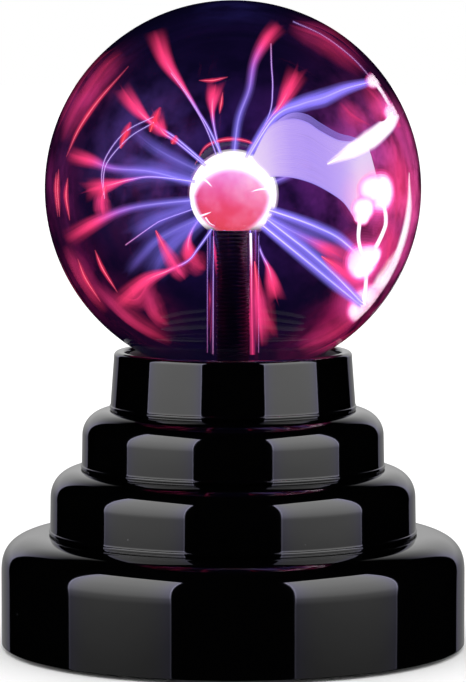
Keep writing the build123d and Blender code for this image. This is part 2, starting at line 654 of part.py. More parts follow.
PIN_RADIUS = 0.3
FILTER_X, FILTER_Y = 3.0, 12.0
FILTER_RADIUS, FILTER_HEIGHT = 4.0, 12.0
with BuildPart() as filter_capacitor:
    with BuildSketch(Plane.XY.offset(BOARD_TOP_Z + 0.3)):
        with Locations((FILTER_X, FILTER_Y)):
            Circle(FILTER_RADIUS)
    extrude(amount=FILTER_HEIGHT)
    fillet(filter_capacitor.edges().filter_by(GeomType.CIRCLE), 0.6)
    with BuildSketch(Plane.XY.offset(BOARD_TOP_Z)):
        for side in (-1, 1):
            with Locations((FILTER_X + side * 1.75, FILTER_Y)):
                Circle(PIN_RADIUS)
    extrude(amount=1.0)
save(filter_capacitor, "filter_capacitor")

FILM_X, FILM_Y = -10.0, 13.0
FILM_LENGTH, FILM_WIDTH, FILM_HEIGHT = 9.0, 4.0, 7.4
with BuildPart() as film_capacitor:
    with Locations((FILM_X, FILM_Y, BOARD_TOP_Z + 0.3 + FILM_HEIGHT / 2)):
        Box(FILM_LENGTH, FILM_WIDTH, FILM_HEIGHT)
    fillet(film_capacitor.edges(), 0.7)
    with BuildSketch(Plane.XY.offset(BOARD_TOP_Z)):
        for side in (-1, 1):
            with Locations((FILM_X + side * 3.0, FILM_Y)):
                Circle(PIN_RADIUS)
    extrude(amount=1.0)
save(film_capacitor, "film_capacitor")

RESISTOR_X = 2.2
RESISTOR_Y = (-12.6, -16.4)
RESISTOR_RADIUS, RESISTOR_LENGTH = 1.15, 6.4
LEAD_SPREAD = 5.2  # from a resistor's middle to each of its holes
resistor_z = BOARD_TOP_Z + 1.4
with BuildPart() as resistors:
    for resistor_y in RESISTOR_Y:
        with BuildSketch(Plane.YZ.offset(RESISTOR_X - RESISTOR_LENGTH / 2)):
            with Locations((resistor_y, resistor_z)):
                Circle(RESISTOR_RADIUS)
        extrude(amount=RESISTOR_LENGTH)
        with BuildLine() as leads:
            FilletPolyline(
                (RESISTOR_X - LEAD_SPREAD, resistor_y, BOARD_TOP_Z),
                (RESISTOR_X - LEAD_SPREAD, resistor_y, resistor_z),
                (RESISTOR_X + LEAD_SPREAD, resistor_y, resistor_z),
                (RESISTOR_X + LEAD_SPREAD, resistor_y, BOARD_TOP_Z),
                radius=0.7,
            )
        with BuildSketch(Plane(origin=leads.wires()[0] @ 0, z_dir=(0, 0, 1))):
            Circle(PIN_RADIUS)
        sweep(path=leads.wires()[0])
save(resistors, "resistors")

# ---------------------------------------------------------------- rear board, switch and inlet
with BuildPart() as inlet_board:
    with BuildSketch(Plane.XZ.offset(-REAR_BOARD_Y)):
        with Locations((0, facet_mid_z)):
            Rectangle(26.9, facet_height - 0.6)
        with Locations((INLET_X, REAR_Z)):
            Rectangle(7.6, 6.8, mode=Mode.SUBTRACT)
    extrude(amount=-REAR_BOARD_THICKNESS)
save(inlet_board, "inlet_board")

can_front_y = FACET_Y - FACET_WALL - 0.1
can_back_y = REAR_BOARD_Y + REAR_BOARD_THICKNESS + 0.05
with BuildPart() as switch_body:
    with Locations((SWITCH_X, (can_front_y + can_back_y) / 2, REAR_Z)):
        Box(9.4, can_front_y - can_back_y, 5.4)
    with Locations((SWITCH_X, can_front_y - 1.4, REAR_Z)):
        Box(8.4, 2.0, 4.4, mode=Mode.SUBTRACT)
    with Locations((SWITCH_X, can_front_y, REAR_Z)):
        Box(SLOT_LENGTH, 2.0, SLOT_HEIGHT, mode=Mode.SUBTRACT)
save(switch_body, "switch_body")

knob_x = SWITCH_X - SWITCH_TRAVEL / 2
knob_slide_y = can_front_y - 1.4
KNOB_TIP_Y = FACET_Y + 1.2
KNOB_WIDTH, KNOB_HEIGHT = 2.6, 2.3
with BuildPart() as switch_knob:
    with Locations((knob_x, knob_slide_y, REAR_Z)):
        Box(4.6, 1.2, 4.0)
    with Locations((knob_x, (knob_slide_y + KNOB_TIP_Y) / 2, REAR_Z)):
        Box(KNOB_WIDTH, KNOB_TIP_Y - knob_slide_y, KNOB_HEIGHT)
    for groove in (-1, 0, 1):
        with Locations((knob_x + 0.75 * groove, KNOB_TIP_Y, REAR_Z)):
            Box(0.3, 0.5, KNOB_HEIGHT, mode=Mode.SUBTRACT)
save(switch_knob, "switch_knob")

INLET_BORE_RADIUS = 1.85
INLET_BORE_DEPTH = 9.5
INLET_BACK_Y = 33.5
with BuildPart() as inlet_body:
    with Locations((INLET_X, (can_front_y + INLET_BACK_Y) / 2, REAR_Z)):
        Box(7.2, can_front_y - INLET_BACK_Y, 6.4)
    with BuildSketch(Plane.XZ.offset(-can_front_y)):
        with Locations((INLET_X, REAR_Z)):
            Circle(INLET_HOLE_RADIUS - 0.1)
    extrude(amount=-(FACET_Y - can_front_y))
    with BuildSketch(Plane.XZ.offset(-FACET_Y)):
        with Locations((INLET_X, REAR_Z)):
            Circle(INLET_BORE_RADIUS)
    extrude(amount=INLET_BORE_DEPTH, mode=Mode.SUBTRACT)
save(inlet_body, "inlet_body")

INLET_PIN_RADIUS = 0.65
INLET_PIN_LENGTH = 8.6
with BuildPart() as inlet_pin:
    with BuildSketch(Plane.XZ.offset(-FACET_Y + INLET_BORE_DEPTH)):
        with Locations((INLET_X, REAR_Z)):
            Circle(INLET_PIN_RADIUS)
    extrude(amount=-INLET_PIN_LENGTH)
    fillet(inlet_pin.edges().filter_by(GeomType.CIRCLE).group_by(Axis.Y)[-1], 0.4)
save(inlet_pin, "inlet_pin")

# ---------------------------------------------------------------- wires, each held at both ends
tab_y = 1.5 * CELL_PITCH
lead_x = bay_half_length + WIRE_RADIUS + 0.05
for name, lead_y in (("battery_lead_positive", tab_y), ("battery_lead_negative", -tab_y)):
    wire(
        name,
        [
            (lead_x, lead_y, BAY_TOP_Z + 0.2),
            (lead_x, lead_y, BOARD_TOP_Z + 3.6),
            (20.0, lead_y * 0.85, BOARD_TOP_Z + 3.6),
            (20.0, lead_y * 0.85, BOARD_TOP_Z),
        ],
        [2.6, 2.2],
        WIRE_RADIUS,
    )
for name, start_x, end_x in (("inlet_lead_positive", 1.4, 9.6), ("inlet_lead_negative", -1.6, -3.4)):
    wire(
        name,
        [
            (start_x, REAR_BOARD_Y - 0.05, 13.0),
            (start_x, 31.0, 13.0),
            ((start_x + end_x) / 2, 28.0, BOARD_TOP_Z + 4.4),
            (end_x, 17.6, BOARD_TOP_Z + 4.4),
            (end_x, 17.6, BOARD_TOP_Z),
        ],
        [2.6, 4.4, 2.4],
        WIRE_RADIUS,
    )
wire(
    "high_voltage_lead",
    [
        (0, 0, COIL_BOTTOM_Z - 0.4),
        (0, 0, PLUG_BOTTOM_Z - 7.6),
        (-1.2, -12.0, BOARD_TOP_Z + 10.0),
        (CORE_X, CORE_Y - FLANGE_DEPTH / 2 - 2.2, BOARD_TOP_Z + 8.0),
        (CORE_X, CORE_Y - FLANGE_DEPTH / 2 - 2.2, BOARD_TOP_Z),
    ],
    [5.0, 3.4, 3.0],
    HV_LEAD_RADIUS,
)
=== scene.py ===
"""A small plasma ball, switched on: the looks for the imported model.

The glowing discharge, the glass and the glossy base are modelled here, around the CAD frame. Metres, +Z up.
"""

import json
from math import atan2, cos, pi, radians, sin, sqrt

import bpy
from bpy.props import FloatProperty, FloatVectorProperty, IntProperty, PointerProperty
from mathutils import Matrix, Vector


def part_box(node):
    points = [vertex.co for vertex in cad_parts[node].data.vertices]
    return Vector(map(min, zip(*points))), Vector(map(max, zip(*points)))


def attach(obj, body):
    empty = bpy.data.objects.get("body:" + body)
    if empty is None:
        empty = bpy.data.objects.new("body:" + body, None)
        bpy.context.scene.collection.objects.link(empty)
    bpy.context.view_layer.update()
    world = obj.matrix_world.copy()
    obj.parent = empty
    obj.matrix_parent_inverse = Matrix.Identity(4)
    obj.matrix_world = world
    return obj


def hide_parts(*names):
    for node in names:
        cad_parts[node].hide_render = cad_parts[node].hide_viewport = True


bl_info = {
    "name": "Plasma Ball",
    "version": (1, 0, 0),
    "blender": (4, 5, 0),
    "location": "3D View > Sidebar > Plasma Ball",
    "description": "Builds a lit desk plasma ball around its CAD frame",
    "category": "Object",
}

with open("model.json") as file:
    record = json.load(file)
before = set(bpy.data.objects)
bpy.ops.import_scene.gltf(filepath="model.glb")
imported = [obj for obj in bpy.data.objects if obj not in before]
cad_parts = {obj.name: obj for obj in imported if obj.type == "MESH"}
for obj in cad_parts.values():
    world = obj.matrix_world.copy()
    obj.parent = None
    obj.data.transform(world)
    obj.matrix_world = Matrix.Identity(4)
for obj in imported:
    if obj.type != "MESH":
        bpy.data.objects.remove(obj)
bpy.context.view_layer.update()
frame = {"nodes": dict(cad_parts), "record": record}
MM = 0.001

SHELL_LOW, SHELL_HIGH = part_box("base_shell")
GLOBE_LOW, GLOBE_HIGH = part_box("glass_globe")
COATING_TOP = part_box("electrode_coating")[1][2]
STEM_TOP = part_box("electrode_glass")[1][2]
SEAL_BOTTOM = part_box("globe_seal")[0][2]
NECK_BOTTOM = GLOBE_LOW[2]
GLOBE_TOP = GLOBE_HIGH[2]
BASE_EDGE = SHELL_LOW[2]
COLLAR_TOP = SHELL_HIGH[2]
BODY = "base"


# ---------------------------------------------------------------- settings
def length(name, description, default):
    """A length property, in metres."""
    return FloatProperty(
        name=name, description=description, default=default, min=0.0, unit="LENGTH", precision=5
    )


def colour(name, description, default):
    """A colour property, as the shaders use it."""
    return FloatVectorProperty(
        name=name, description=description, default=default, size=3, subtype="COLOR", min=0.0, max=1.0
    )


class BaseSettings(bpy.types.PropertyGroup):
    """Sizes and colour of the stepped base"""

    radius: length("Base radius", "Outside radius of the bottom tier", 47.25 * MM)
    collar: length("Collar radius", "Outside radius of the collar at its top", 24.2 * MM)
    mouth: length("Mouth radius", "Inside radius of the collar, round the globe", 21.9 * MM)
    wall: length("Wall", "Thickness of the moulded shell", 2.0 * MM)
    round_steps: IntProperty(name="Round steps", description="Facets around the base", default=192, min=48)
    black: colour("Black", "Colour of the glossy plastic", (0.0004, 0.0004, 0.0005))


class GlobeSettings(bpy.types.PropertyGroup):
    """Sizes of the glass"""

    radius: length("Globe radius", "Outside radius of the globe", 38.1 * MM)
    wall: length("Globe wall", "Thickness of the globe's glass", 1.3 * MM)
    neck: length("Neck radius", "Outside radius of the globe's neck", 15.0 * MM)
    ball: length("Ball radius", "Outside radius of the electrode's glass ball", 8.8 * MM)
    stem: length("Stem radius", "Outside radius of the electrode's glass stem", 5.4 * MM)
    stem_wall: length("Stem wall", "Thickness of the electrode's glass", 0.9 * MM)


class PlasmaSettings(bpy.types.PropertyGroup):
    """Colours and strength of the discharge"""

    violet: colour("Violet", "Colour of a streamer's length", (0.26, 0.20, 1.0))
    magenta: colour("Magenta", "Colour of a streamer's end at the glass", (1.0, 0.060, 0.28))
    coral: colour("Coral", "Colour of the electrode's lower face", (1.0, 0.090, 0.19))
    # The Gas colour is painted shade: the dark that the far side shows where no glow lies.
    gas: colour("Gas", "Colour of the dark gas", (0.0030, 0.0018, 0.014))
    power: FloatProperty(name="Power", description="Brightness of the discharge", default=1.0, min=0.0)


class StageSettings(bpy.types.PropertyGroup):
    """The camera, the floor and the lamps"""

    camera_distance: length("Camera distance", "From the camera to the globe's axis", 0.7689)
    camera_height: length("Camera height", "Height of the camera over the floor", 0.1287)
    camera_pitch: FloatProperty(
        name="Camera pitch", description="How far the camera looks down", default=radians(4.93), subtype="ANGLE"
    )
    lens: FloatProperty(name="Lens", description="Focal length in millimetres", default=200.4, min=1.0)
    panel_distance: length("Panel distance", "From the object to the two light panels", 1.2)
    panel_angle: FloatProperty(
        name="Panel angle", description="How far the panels stand round to the sides", default=radians(58),
        subtype="ANGLE",
    )


# ---------------------------------------------------------------- modelling helpers
def deselect_all():
    """Leaves nothing selected, so that the next operator acts on its own piece only."""
    if bpy.context.mode != "OBJECT":
        bpy.ops.object.mode_set(mode="OBJECT")
    bpy.ops.object.select_all(action="DESELECT")


def make_active(piece):
    """Selects one piece alone."""
    deselect_all()
    piece.select_set(True)
    bpy.context.view_layer.objects.active = piece


def fresh(name, kind, **sizes):
    """Adds a mesh of a given kind, with nothing else selected, and names it."""
    deselect_all()
    getattr(bpy.ops.mesh, f"primitive_{kind}_add")(**sizes)
    return named(bpy.context.object, name)


def named(piece, name):
    """Gives a piece and its mesh their name."""
    piece.name = name
    piece.data.name = name
    return piece


def carry(piece, **lists):
    """Gives the piece's points their own values, such as a streamer's brightness."""
    for key, values in lists.items():
        piece.data.attributes.new(key, "FLOAT", "POINT").data.foreach_set("value", values)


def apply_place(piece):
    """Moves the piece's place into its mesh."""
    make_active(piece)
    bpy.ops.object.transform_apply(location=True, rotation=True, scale=True)


def smooth(piece, angle=32.0):
    """Smooth shading that keeps the sharp edges."""
    make_active(piece)
    bpy.ops.object.shade_smooth_by_angle(angle=radians(angle))


def arc(centre_x, centre_z, radius, start, end, steps):
    """Points of an arc in the profile plane, with angles in degrees from +X towards +Z."""
    turns = (radians(start + (end - start) * step / steps) for step in range(steps + 1))
    return [(centre_x + radius * cos(turn), centre_z + radius * sin(turn)) for turn in turns]


def spun(name, outline, steps, closed=True):
    """Turns an outline of (distance from the axis, height) points round the globe's axis."""
    piece = fresh(name, "plane", size=0.001, location=(0, 0, 0))
    bpy.ops.object.mode_set(mode="EDIT")
    bpy.ops.mesh.select_all(action="SELECT")
    bpy.ops.mesh.merge(type="CENTER")
    here = Vector((0, 0, 0))
    points = [Vector((x, 0, z)) for x, z in outline]
    bpy.ops.transform.translate(value=points[0] - here)
    for before, after in zip(points, points[1:]):
        bpy.ops.mesh.extrude_vertices_move(TRANSFORM_OT_translate={"value": after - before})
    if closed:
        bpy.ops.mesh.extrude_vertices_move(TRANSFORM_OT_translate={"value": points[0] - points[-1]})
    bpy.ops.mesh.select_all(action="SELECT")
    bpy.ops.mesh.spin(steps=steps, angle=2 * pi, center=(0, 0, 0), axis=(0, 0, 1))
    bpy.ops.mesh.select_all(action="SELECT")
    bpy.ops.mesh.remove_doubles(threshold=0.000002)
    bpy.ops.mesh.normals_make_consistent(inside=False)
    bpy.ops.object.mode_set(mode="OBJECT")
    return piece


def block(name, low, high):
    """A box between two corners."""
    piece = fresh(name, "cube", size=1, location=[(a + b) / 2 for a, b in zip(low, high)])
    piece.scale = [b - a for a, b in zip(low, high)]
    apply_place(piece)
    return piece


def rod(name, radius, start_y, end_y, x, z, steps=48):
    """A round bar along Y."""
    middle = (x, (start_y + end_y) / 2, z)
    piece = fresh(name, "cylinder", vertices=steps, radius=radius, depth=end_y - start_y, location=middle)
    piece.rotation_euler = (pi / 2, 0, 0)
    apply_place(piece)
    return piece


def combine(piece, tool, operation):
    """Adds a tool to a piece, or cuts the piece with it, and removes the tool."""
    make_active(piece)
    change = piece.modifiers.new("combine", "BOOLEAN")
    change.operation = operation
    change.object = tool
    change.solver = "EXACT"
    bpy.ops.object.modifier_apply(modifier=change.name)
    bpy.data.objects.remove(tool, do_unlink=True)


def finish(piece, material, slot, *replaced):
    """Gives a new piece its material, keeps a plasma_glow piece out of reflections, makes it ride on the base
    and hides the CAD pieces it replaces.
    """
    if not piece.data.polygons:
        raise RuntimeError(f"{piece.name} came out empty")
    piece.data.materials.clear()
    piece.data.materials.append(material)
    piece.visible_glossy = slot != "plasma_glow"
    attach(piece, BODY)
    if replaced:
        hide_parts(*replaced)


# ---------------------------------------------------------------- node helpers
class Shader:
    """A material's node tree, with short ways to add and join its nodes."""

    def __init__(self, name):
        self.material = bpy.data.materials.new(name)
        self.material.use_nodes = True
        self.tree = self.material.node_tree
        self.surface = self.tree.nodes["Principled BSDF"]

    def add(self, kind, values=(), **settings):
        """Adds a node, sets its properties, and sets or links its inputs."""
        return add_node(self.tree, kind, values, settings)

    def set(self, **values):
        """Sets or links the Principled inputs; an underscore stands for a space."""
        for key, value in values.items():
            join(self.tree, value, self.surface.inputs[key.replace("_", " ")])

    def place(self):
        """The Object coordinates."""
        return self.add("ShaderNodeTexCoord").outputs["Object"]

    def along_ribbon(self):
        """How far along and across a ribbon a point lies."""
        return self.add("ShaderNodeUVMap", uv_map="UVMap").outputs[0]

    def carried(self, name):
        """A value that the mesh carries from point to point."""
        return self.add("ShaderNodeAttribute", attribute_name=name).outputs["Fac"]

    def way_from(self, height):
        """The direction of a point from a place on the axis at a given height."""
        offset = self.add("ShaderNodeVectorMath", [self.place(), (0.0, 0.0, height)], operation="SUBTRACT")
        return self.add("ShaderNodeVectorMath", [offset.outputs[0]], operation="NORMALIZE").outputs[0]

    def show(self, node):
        """Makes a shader node the material's surface."""
        self.tree.links.new(node.outputs[0], self.tree.nodes["Material Output"].inputs["Surface"])


def join(tree, value, socket):
    """Links a socket, or sets a plain value."""
    if isinstance(value, bpy.types.NodeSocket):
        tree.links.new(value, socket)
    elif socket.type == "RGBA" and len(value) == 3:
        socket.default_value = (*value, 1.0)
    else:
        socket.default_value = value


def add_node(tree, kind, values=(), settings=None):
    """Adds one node; values is a dictionary, or a list in the order of its inputs."""
    node = tree.nodes.new(kind)
    for key, value in (settings or {}).items():
        setattr(node, key, value)
    pairs = values.items() if isinstance(values, dict) else enumerate(values)
    for key, value in pairs:
        if value is not None:
            join(tree, value, node.inputs[key])
    return node


def ramp(tree, factor, stops):
    """A colour ramp with (position, colour) stops."""
    node = add_node(tree, "ShaderNodeValToRGB", [factor])
    band = node.color_ramp
    while len(band.elements) < len(stops):
        band.elements.new(0.5)
    for element, (position, shade) in zip(band.elements, stops):
        element.position = position
        element.color = (*shade, 1.0)
    return node.outputs["Color"]


def maths(tree, operation, *values, clamp=False):
    """One Math node."""
    node = add_node(tree, "ShaderNodeMath", values, {"operation": operation, "use_clamp": clamp})
    return node.outputs[0]


def parts(tree, vector):
    """The three parts of a vector."""
    return add_node(tree, "ShaderNodeSeparateXYZ", [vector]).outputs


def between(tree, value, low, high, start=0.0, end=1.0):
    """How far a value is from low to high, as a number from start to end and never beyond them."""
    values = {"Value": value, "From Min": low, "From Max": high, "To Min": start, "To Max": end}
    return add_node(tree, "ShaderNodeMapRange", values, {"clamp": True}).outputs[0]


def noise(tree, place, scale, detail, roughness=0.5):
    """Cloudy noise, from 0 to 1."""
    values = {"Vector": place, "Scale": scale, "Detail": detail, "Roughness": roughness}
    return add_node(tree, "ShaderNodeTexNoise", values).outputs[0]


def group(name, inputs, outputs, build):
    """A shared effect: a node group with named inputs and outputs, built once."""
    if name in bpy.data.node_groups:
        return bpy.data.node_groups[name]
    tree = bpy.data.node_groups.new(name, "ShaderNodeTree")
    for label, kind, default in inputs:
        socket = tree.interface.new_socket(name=label, in_out="INPUT", socket_type=kind)
        if default is not None:
            socket.default_value = default
    for label, kind in outputs:
        tree.interface.new_socket(name=label, in_out="OUTPUT", socket_type=kind)
    given = tree.nodes.new("NodeGroupInput")
    result = tree.nodes.new("NodeGroupOutput")
    build(tree, given.outputs, result.inputs)
    return tree


def use(shader, tree, **values):
    """Places a shared effect in a material, with its own values."""
    node = shader.tree.nodes.new("ShaderNodeGroup")
    node.node_tree = tree
    for key, value in values.items():
        join(shader.tree, value, node.inputs[key.replace("_", " ")])
    return node.outputs


# ---------------------------------------------------------------- shared effects
def dust_effect():
    """Fine specks and soft smears that dull a polished surface here and there."""

    def build(tree, given, result):
        cells = {"Vector": given["Place"], "Scale": given["Speck Scale"]}
        specks = add_node(tree, "ShaderNodeTexVoronoi", cells)
        near = maths(tree, "LESS_THAN", specks.outputs["Distance"], 0.06)
        rare = maths(tree, "GREATER_THAN", specks.outputs["Color"], 0.86)
        tree.links.new(maths(tree, "MULTIPLY", near, rare), result["Specks"])
        smears = noise(tree, given["Place"], given["Smear Scale"], 4.0, 0.6)
        tree.links.new(smears, result["Smears"])

    return group(
        "Dust and Smears",
        [("Place", "NodeSocketVector", None), ("Speck Scale", "NodeSocketFloat", 400.0),
         ("Smear Scale", "NodeSocketFloat", 60.0)],
        [("Specks", "NodeSocketFloat"), ("Smears", "NodeSocketFloat")],
        build,
    )


def grain_effect():
    """The fine relief of moulded plastic and rubber."""

    def build(tree, given, result):
        fine = noise(tree, given["Place"], given["Scale"], 3.0, 0.7)
        tree.links.new(fine, result["Height"])
        worn = maths(tree, "MULTIPLY_ADD", fine, given["Spread"], given["Roughness"])
        tree.links.new(worn, result["Roughness"])

    return group(
        "Moulded Grain",
        [("Place", "NodeSocketVector", None), ("Scale", "NodeSocketFloat", 3000.0),
         ("Roughness", "NodeSocketFloat", 0.4), ("Spread", "NodeSocketFloat", 0.2)],
        [("Height", "NodeSocketFloat"), ("Roughness", "NodeSocketFloat")],
        build,
    )


def fibre_effect():
    """Silky strands that run along a glowing ribbon, and how far a point is from its middle line."""

    def build(tree, given, result):
        along, across, _ = parts(tree, given["Place"])
        centred = maths(tree, "ABSOLUTE", maths(tree, "MULTIPLY_ADD", across, 2.0, -1.0))
        tree.links.new(centred, result["Off Middle"])
        along = maths(tree, "MULTIPLY", along, given["Along"])
        across = maths(tree, "MULTIPLY", across, given["Across"])
        stretched = add_node(tree, "ShaderNodeCombineXYZ", [along, across])
        tree.links.new(noise(tree, stretched.outputs[0], 1.0, 2.0, 0.55), result["Strands"])

    return group(
        "Plasma Fibres",
        [("Place", "NodeSocketVector", None), ("Along", "NodeSocketFloat", 3.0),
         ("Across", "NodeSocketFloat", 14.0)],
        [("Off Middle", "NodeSocketFloat"), ("Strands", "NodeSocketFloat")],
        build,
    )


# ---------------------------------------------------------------- materials of the object
def gloss_black(name, black):
    """Polished black ABS: a deep mirror with faint smears, specks and a trace of orange peel."""
    shader = Shader(name)
    place = shader.place()
    dust = use(shader, dust_effect(), Place=place, Speck_Scale=260.0, Smear_Scale=45.0)
    peel = noise(shader.tree, place, 130.0, 1.0)
    bump = shader.add("ShaderNodeBump", {"Strength": 0.02, "Distance": 0.0004, "Height": peel})
    tint = ramp(shader.tree, dust["Specks"], [(0.0, black), (1.0, (0.05, 0.05, 0.055))])
    shader.set(
        Base_Color=tint,
        Roughness=maths(shader.tree, "MULTIPLY_ADD", dust["Smears"], 0.05, 0.012),
        Normal=bump.outputs[0],
        IOR=1.46,
    )
    return shader.material


def moulded(name, shade, roughness, scale=3500.0, depth=0.00003):
    """Plastic, rubber, ceramic or lacquer with a fine moulded grain and a slight change of shade."""
    shader = Shader(name)
    place = shader.place()
    grain = use(shader, grain_effect(), Place=place, Scale=scale, Roughness=roughness, Spread=0.2)
    dust = use(shader, dust_effect(), Place=place, Speck_Scale=500.0, Smear_Scale=90.0)
    lighter = tuple(min(1.0, value * 1.25 + 0.004) for value in shade)
    bump = shader.add("ShaderNodeBump", {"Strength": 0.5, "Distance": depth, "Height": grain["Height"]})
    shader.set(
        Base_Color=ramp(shader.tree, dust["Smears"], [(0.35, shade), (0.75, lighter)]),
        Roughness=grain["Roughness"],
        Normal=bump.outputs[0],
    )
    return shader.material


def drawn_metal(name, shade, roughness, axis=(1.0, 1.0, 30.0)):
    """Plated or drawn metal with fine draw lines."""
    shader = Shader(name)
    mapping = shader.add("ShaderNodeMapping", {"Vector": shader.place(), "Scale": axis})
    lines = noise(shader.tree, mapping.outputs[0], 300.0, 3.0)
    darker = tuple(value * 0.7 for value in shade)
    shader.set(
        Base_Color=ramp(shader.tree, lines, [(0.3, darker), (0.7, shade)]),
        Roughness=maths(shader.tree, "MULTIPLY_ADD", lines, 0.2, roughness),
        Metallic=1.0,
    )
    return shader.material


def clear_glass(name, tint):
    """Polished clear glass, a touch uneven as blown glass is."""
    shader = Shader(name)
    waves = noise(shader.tree, shader.place(), 40.0, 0.0)
    bump = shader.add("ShaderNodeBump", {"Strength": 0.01, "Distance": 0.0004, "Height": waves})
    shader.set(
        Base_Color=tint,
        Roughness=0.0,
        IOR=1.45,
        Transmission_Weight=1.0,
        Normal=bump.outputs[0],
    )
    return shader


def electrode_glass(tint, low_z, high_z):
    """The electrode's glass, with a painted white glow along its outline in place of the light of the skin
    round the ball.
    """
    shader = clear_glass("stem_glass", tint)
    tree = shader.tree
    # Painted highlight: the glass glows white and pink where it is seen edge-on, widest over the crown and
    # towards the right, and only above the ball's lower part.
    edge = shader.add("ShaderNodeLayerWeight", {"Blend": 0.5}).outputs["Facing"]
    right, _, height = parts(tree, shader.place())
    above = between(tree, height, low_z, high_z)
    up = maths(tree, "MULTIPLY", maths(tree, "SUBTRACT", above, 0.44, clamp=True), 1.05)
    lift = maths(tree, "MULTIPLY_ADD", maths(tree, "MAXIMUM", right, 0.0), 14.0, up)
    painted_rim_sheen = between(tree, maths(tree, "ADD", edge, lift), 0.43, 0.62)
    present = maths(tree, "MULTIPLY", above, 9.0, clamp=True)
    glow = ramp(tree, painted_rim_sheen, [(0.0, (1.0, 0.25, 0.75)), (0.4, (1.0, 0.62, 1.0)), (0.8, (1.0, 0.95, 1.0))])
    light = shader.add("ShaderNodeEmission", [glow, 1.35])
    level = maths(tree, "MULTIPLY", painted_rim_sheen, present, clamp=True)
    shader.show(shader.add("ShaderNodeMixShader", [level, shader.surface.outputs[0], light.outputs[0]]))
    shader.material.cycles.emission_sampling = "NONE"
    return shader


def cell_wrap():
    """The plain printed jacket of a dry cell: graphite with a copper-coloured end."""
    shader = Shader("cell_wrap")
    place = shader.place()
    along, _, _ = parts(shader.tree, place)
    bands = maths(shader.tree, "MULTIPLY", maths(shader.tree, "ABSOLUTE", along), 40.0)
    dust = use(shader, dust_effect(), Place=place)
    graphite = (0.02, 0.02, 0.024)
    shade = ramp(shader.tree, bands, [
        (0.0, graphite), (0.52, graphite), (0.56, (0.55, 0.30, 0.12)), (1.0, (0.5, 0.3, 0.14)),
    ])
    shader.set(
        Base_Color=shade,
        Roughness=maths(shader.tree, "MULTIPLY_ADD", dust["Smears"], 0.2, 0.22),
        Metallic=0.8,
    )
    return shader.material


def board_laminate():
    """Brown laminate with darker copper tracks under the mask."""
    shader = Shader("board_laminate")
    place = shader.place()
    tracks = shader.add("ShaderNodeTexBrick", {
        "Vector": place, "Scale": 160.0, "Mortar Size": 0.06,
        "Color1": (0.30, 0.17, 0.05), "Color2": (0.36, 0.21, 0.07), "Mortar": (0.10, 0.16, 0.05),
    })
    grain = use(shader, grain_effect(), Place=place, Scale=1800.0, Roughness=0.3, Spread=0.2)
    shader.set(Base_Color=tracks.outputs[0], Roughness=grain["Roughness"])
    return shader.material


def coil_wire():
    """Dark drawn wire whose turns catch the glow."""
    return drawn_metal("coil_wire", (0.045, 0.032, 0.040), 0.34, (40.0, 40.0, 1.0))


# ---------------------------------------------------------------- materials of the discharge
def lit(shader, glow, strength, cover):
    """Turns a material into light alone: black, with its own glow, and as solid as its cover."""
    shader.set(
        Base_Color=(0.0, 0.0, 0.0),
        Roughness=1.0,
        Specular_IOR_Level=0.0,
        Emission_Color=glow,
        Emission_Strength=strength,
        Alpha=cover,
    )
    shader.material.cycles.emission_sampling = "NONE"
    return shader.material


def streamer_glow(plasma):
    """A streamer: a bright thread in a violet veil that turns magenta where it meets the glass."""
    shader = Shader("streamer_glow")
    tree = shader.tree
    place = shader.along_ribbon()
    heat = shader.carried("level")
    flare = shader.carried("redness")
    thread_share = shader.carried("core")
    fibres = use(shader, fibre_effect(), Place=place, Along=2.5, Across=9.0)
    off = fibres["Off Middle"]
    squared = maths(tree, "MULTIPLY", off, off)
    soft = maths(tree, "POWER", maths(tree, "SUBTRACT", 1.0, squared, clamp=True), 1.6)
    narrow = maths(tree, "EXPONENT", maths(tree, "MULTIPLY", squared, -60.0))
    thread = maths(tree, "MULTIPLY", narrow, thread_share)
    strands = maths(tree, "MULTIPLY_ADD", fibres["Strands"], 1.0, 0.22, clamp=True)
    veil = maths(tree, "MULTIPLY", soft, strands)
    cover = maths(tree, "MULTIPLY", maths(tree, "MULTIPLY_ADD", veil, 0.8, thread), heat, clamp=True)
    length_colour = ramp(tree, flare, [(0.0, plasma.violet), (0.35, (0.45, 0.13, 0.75)), (0.7, plasma.magenta),
                                       (1.0, (1.0, 0.035, 0.06))])
    full = maths(tree, "MULTIPLY", soft, 3.0, clamp=True)
    white_hot = maths(tree, "MULTIPLY", maths(tree, "SUBTRACT", thread_share, 1.0, clamp=True), full)
    paleness = maths(tree, "MULTIPLY_ADD", thread, 0.55, white_hot, clamp=True)
    glow = shader.add("ShaderNodeMix", {0: paleness, 6: length_colour, 7: (1.5, 1.3, 1.5)}, data_type="RGBA")
    return lit(shader, glow.outputs[2], 1.35 * plasma.power, cover)


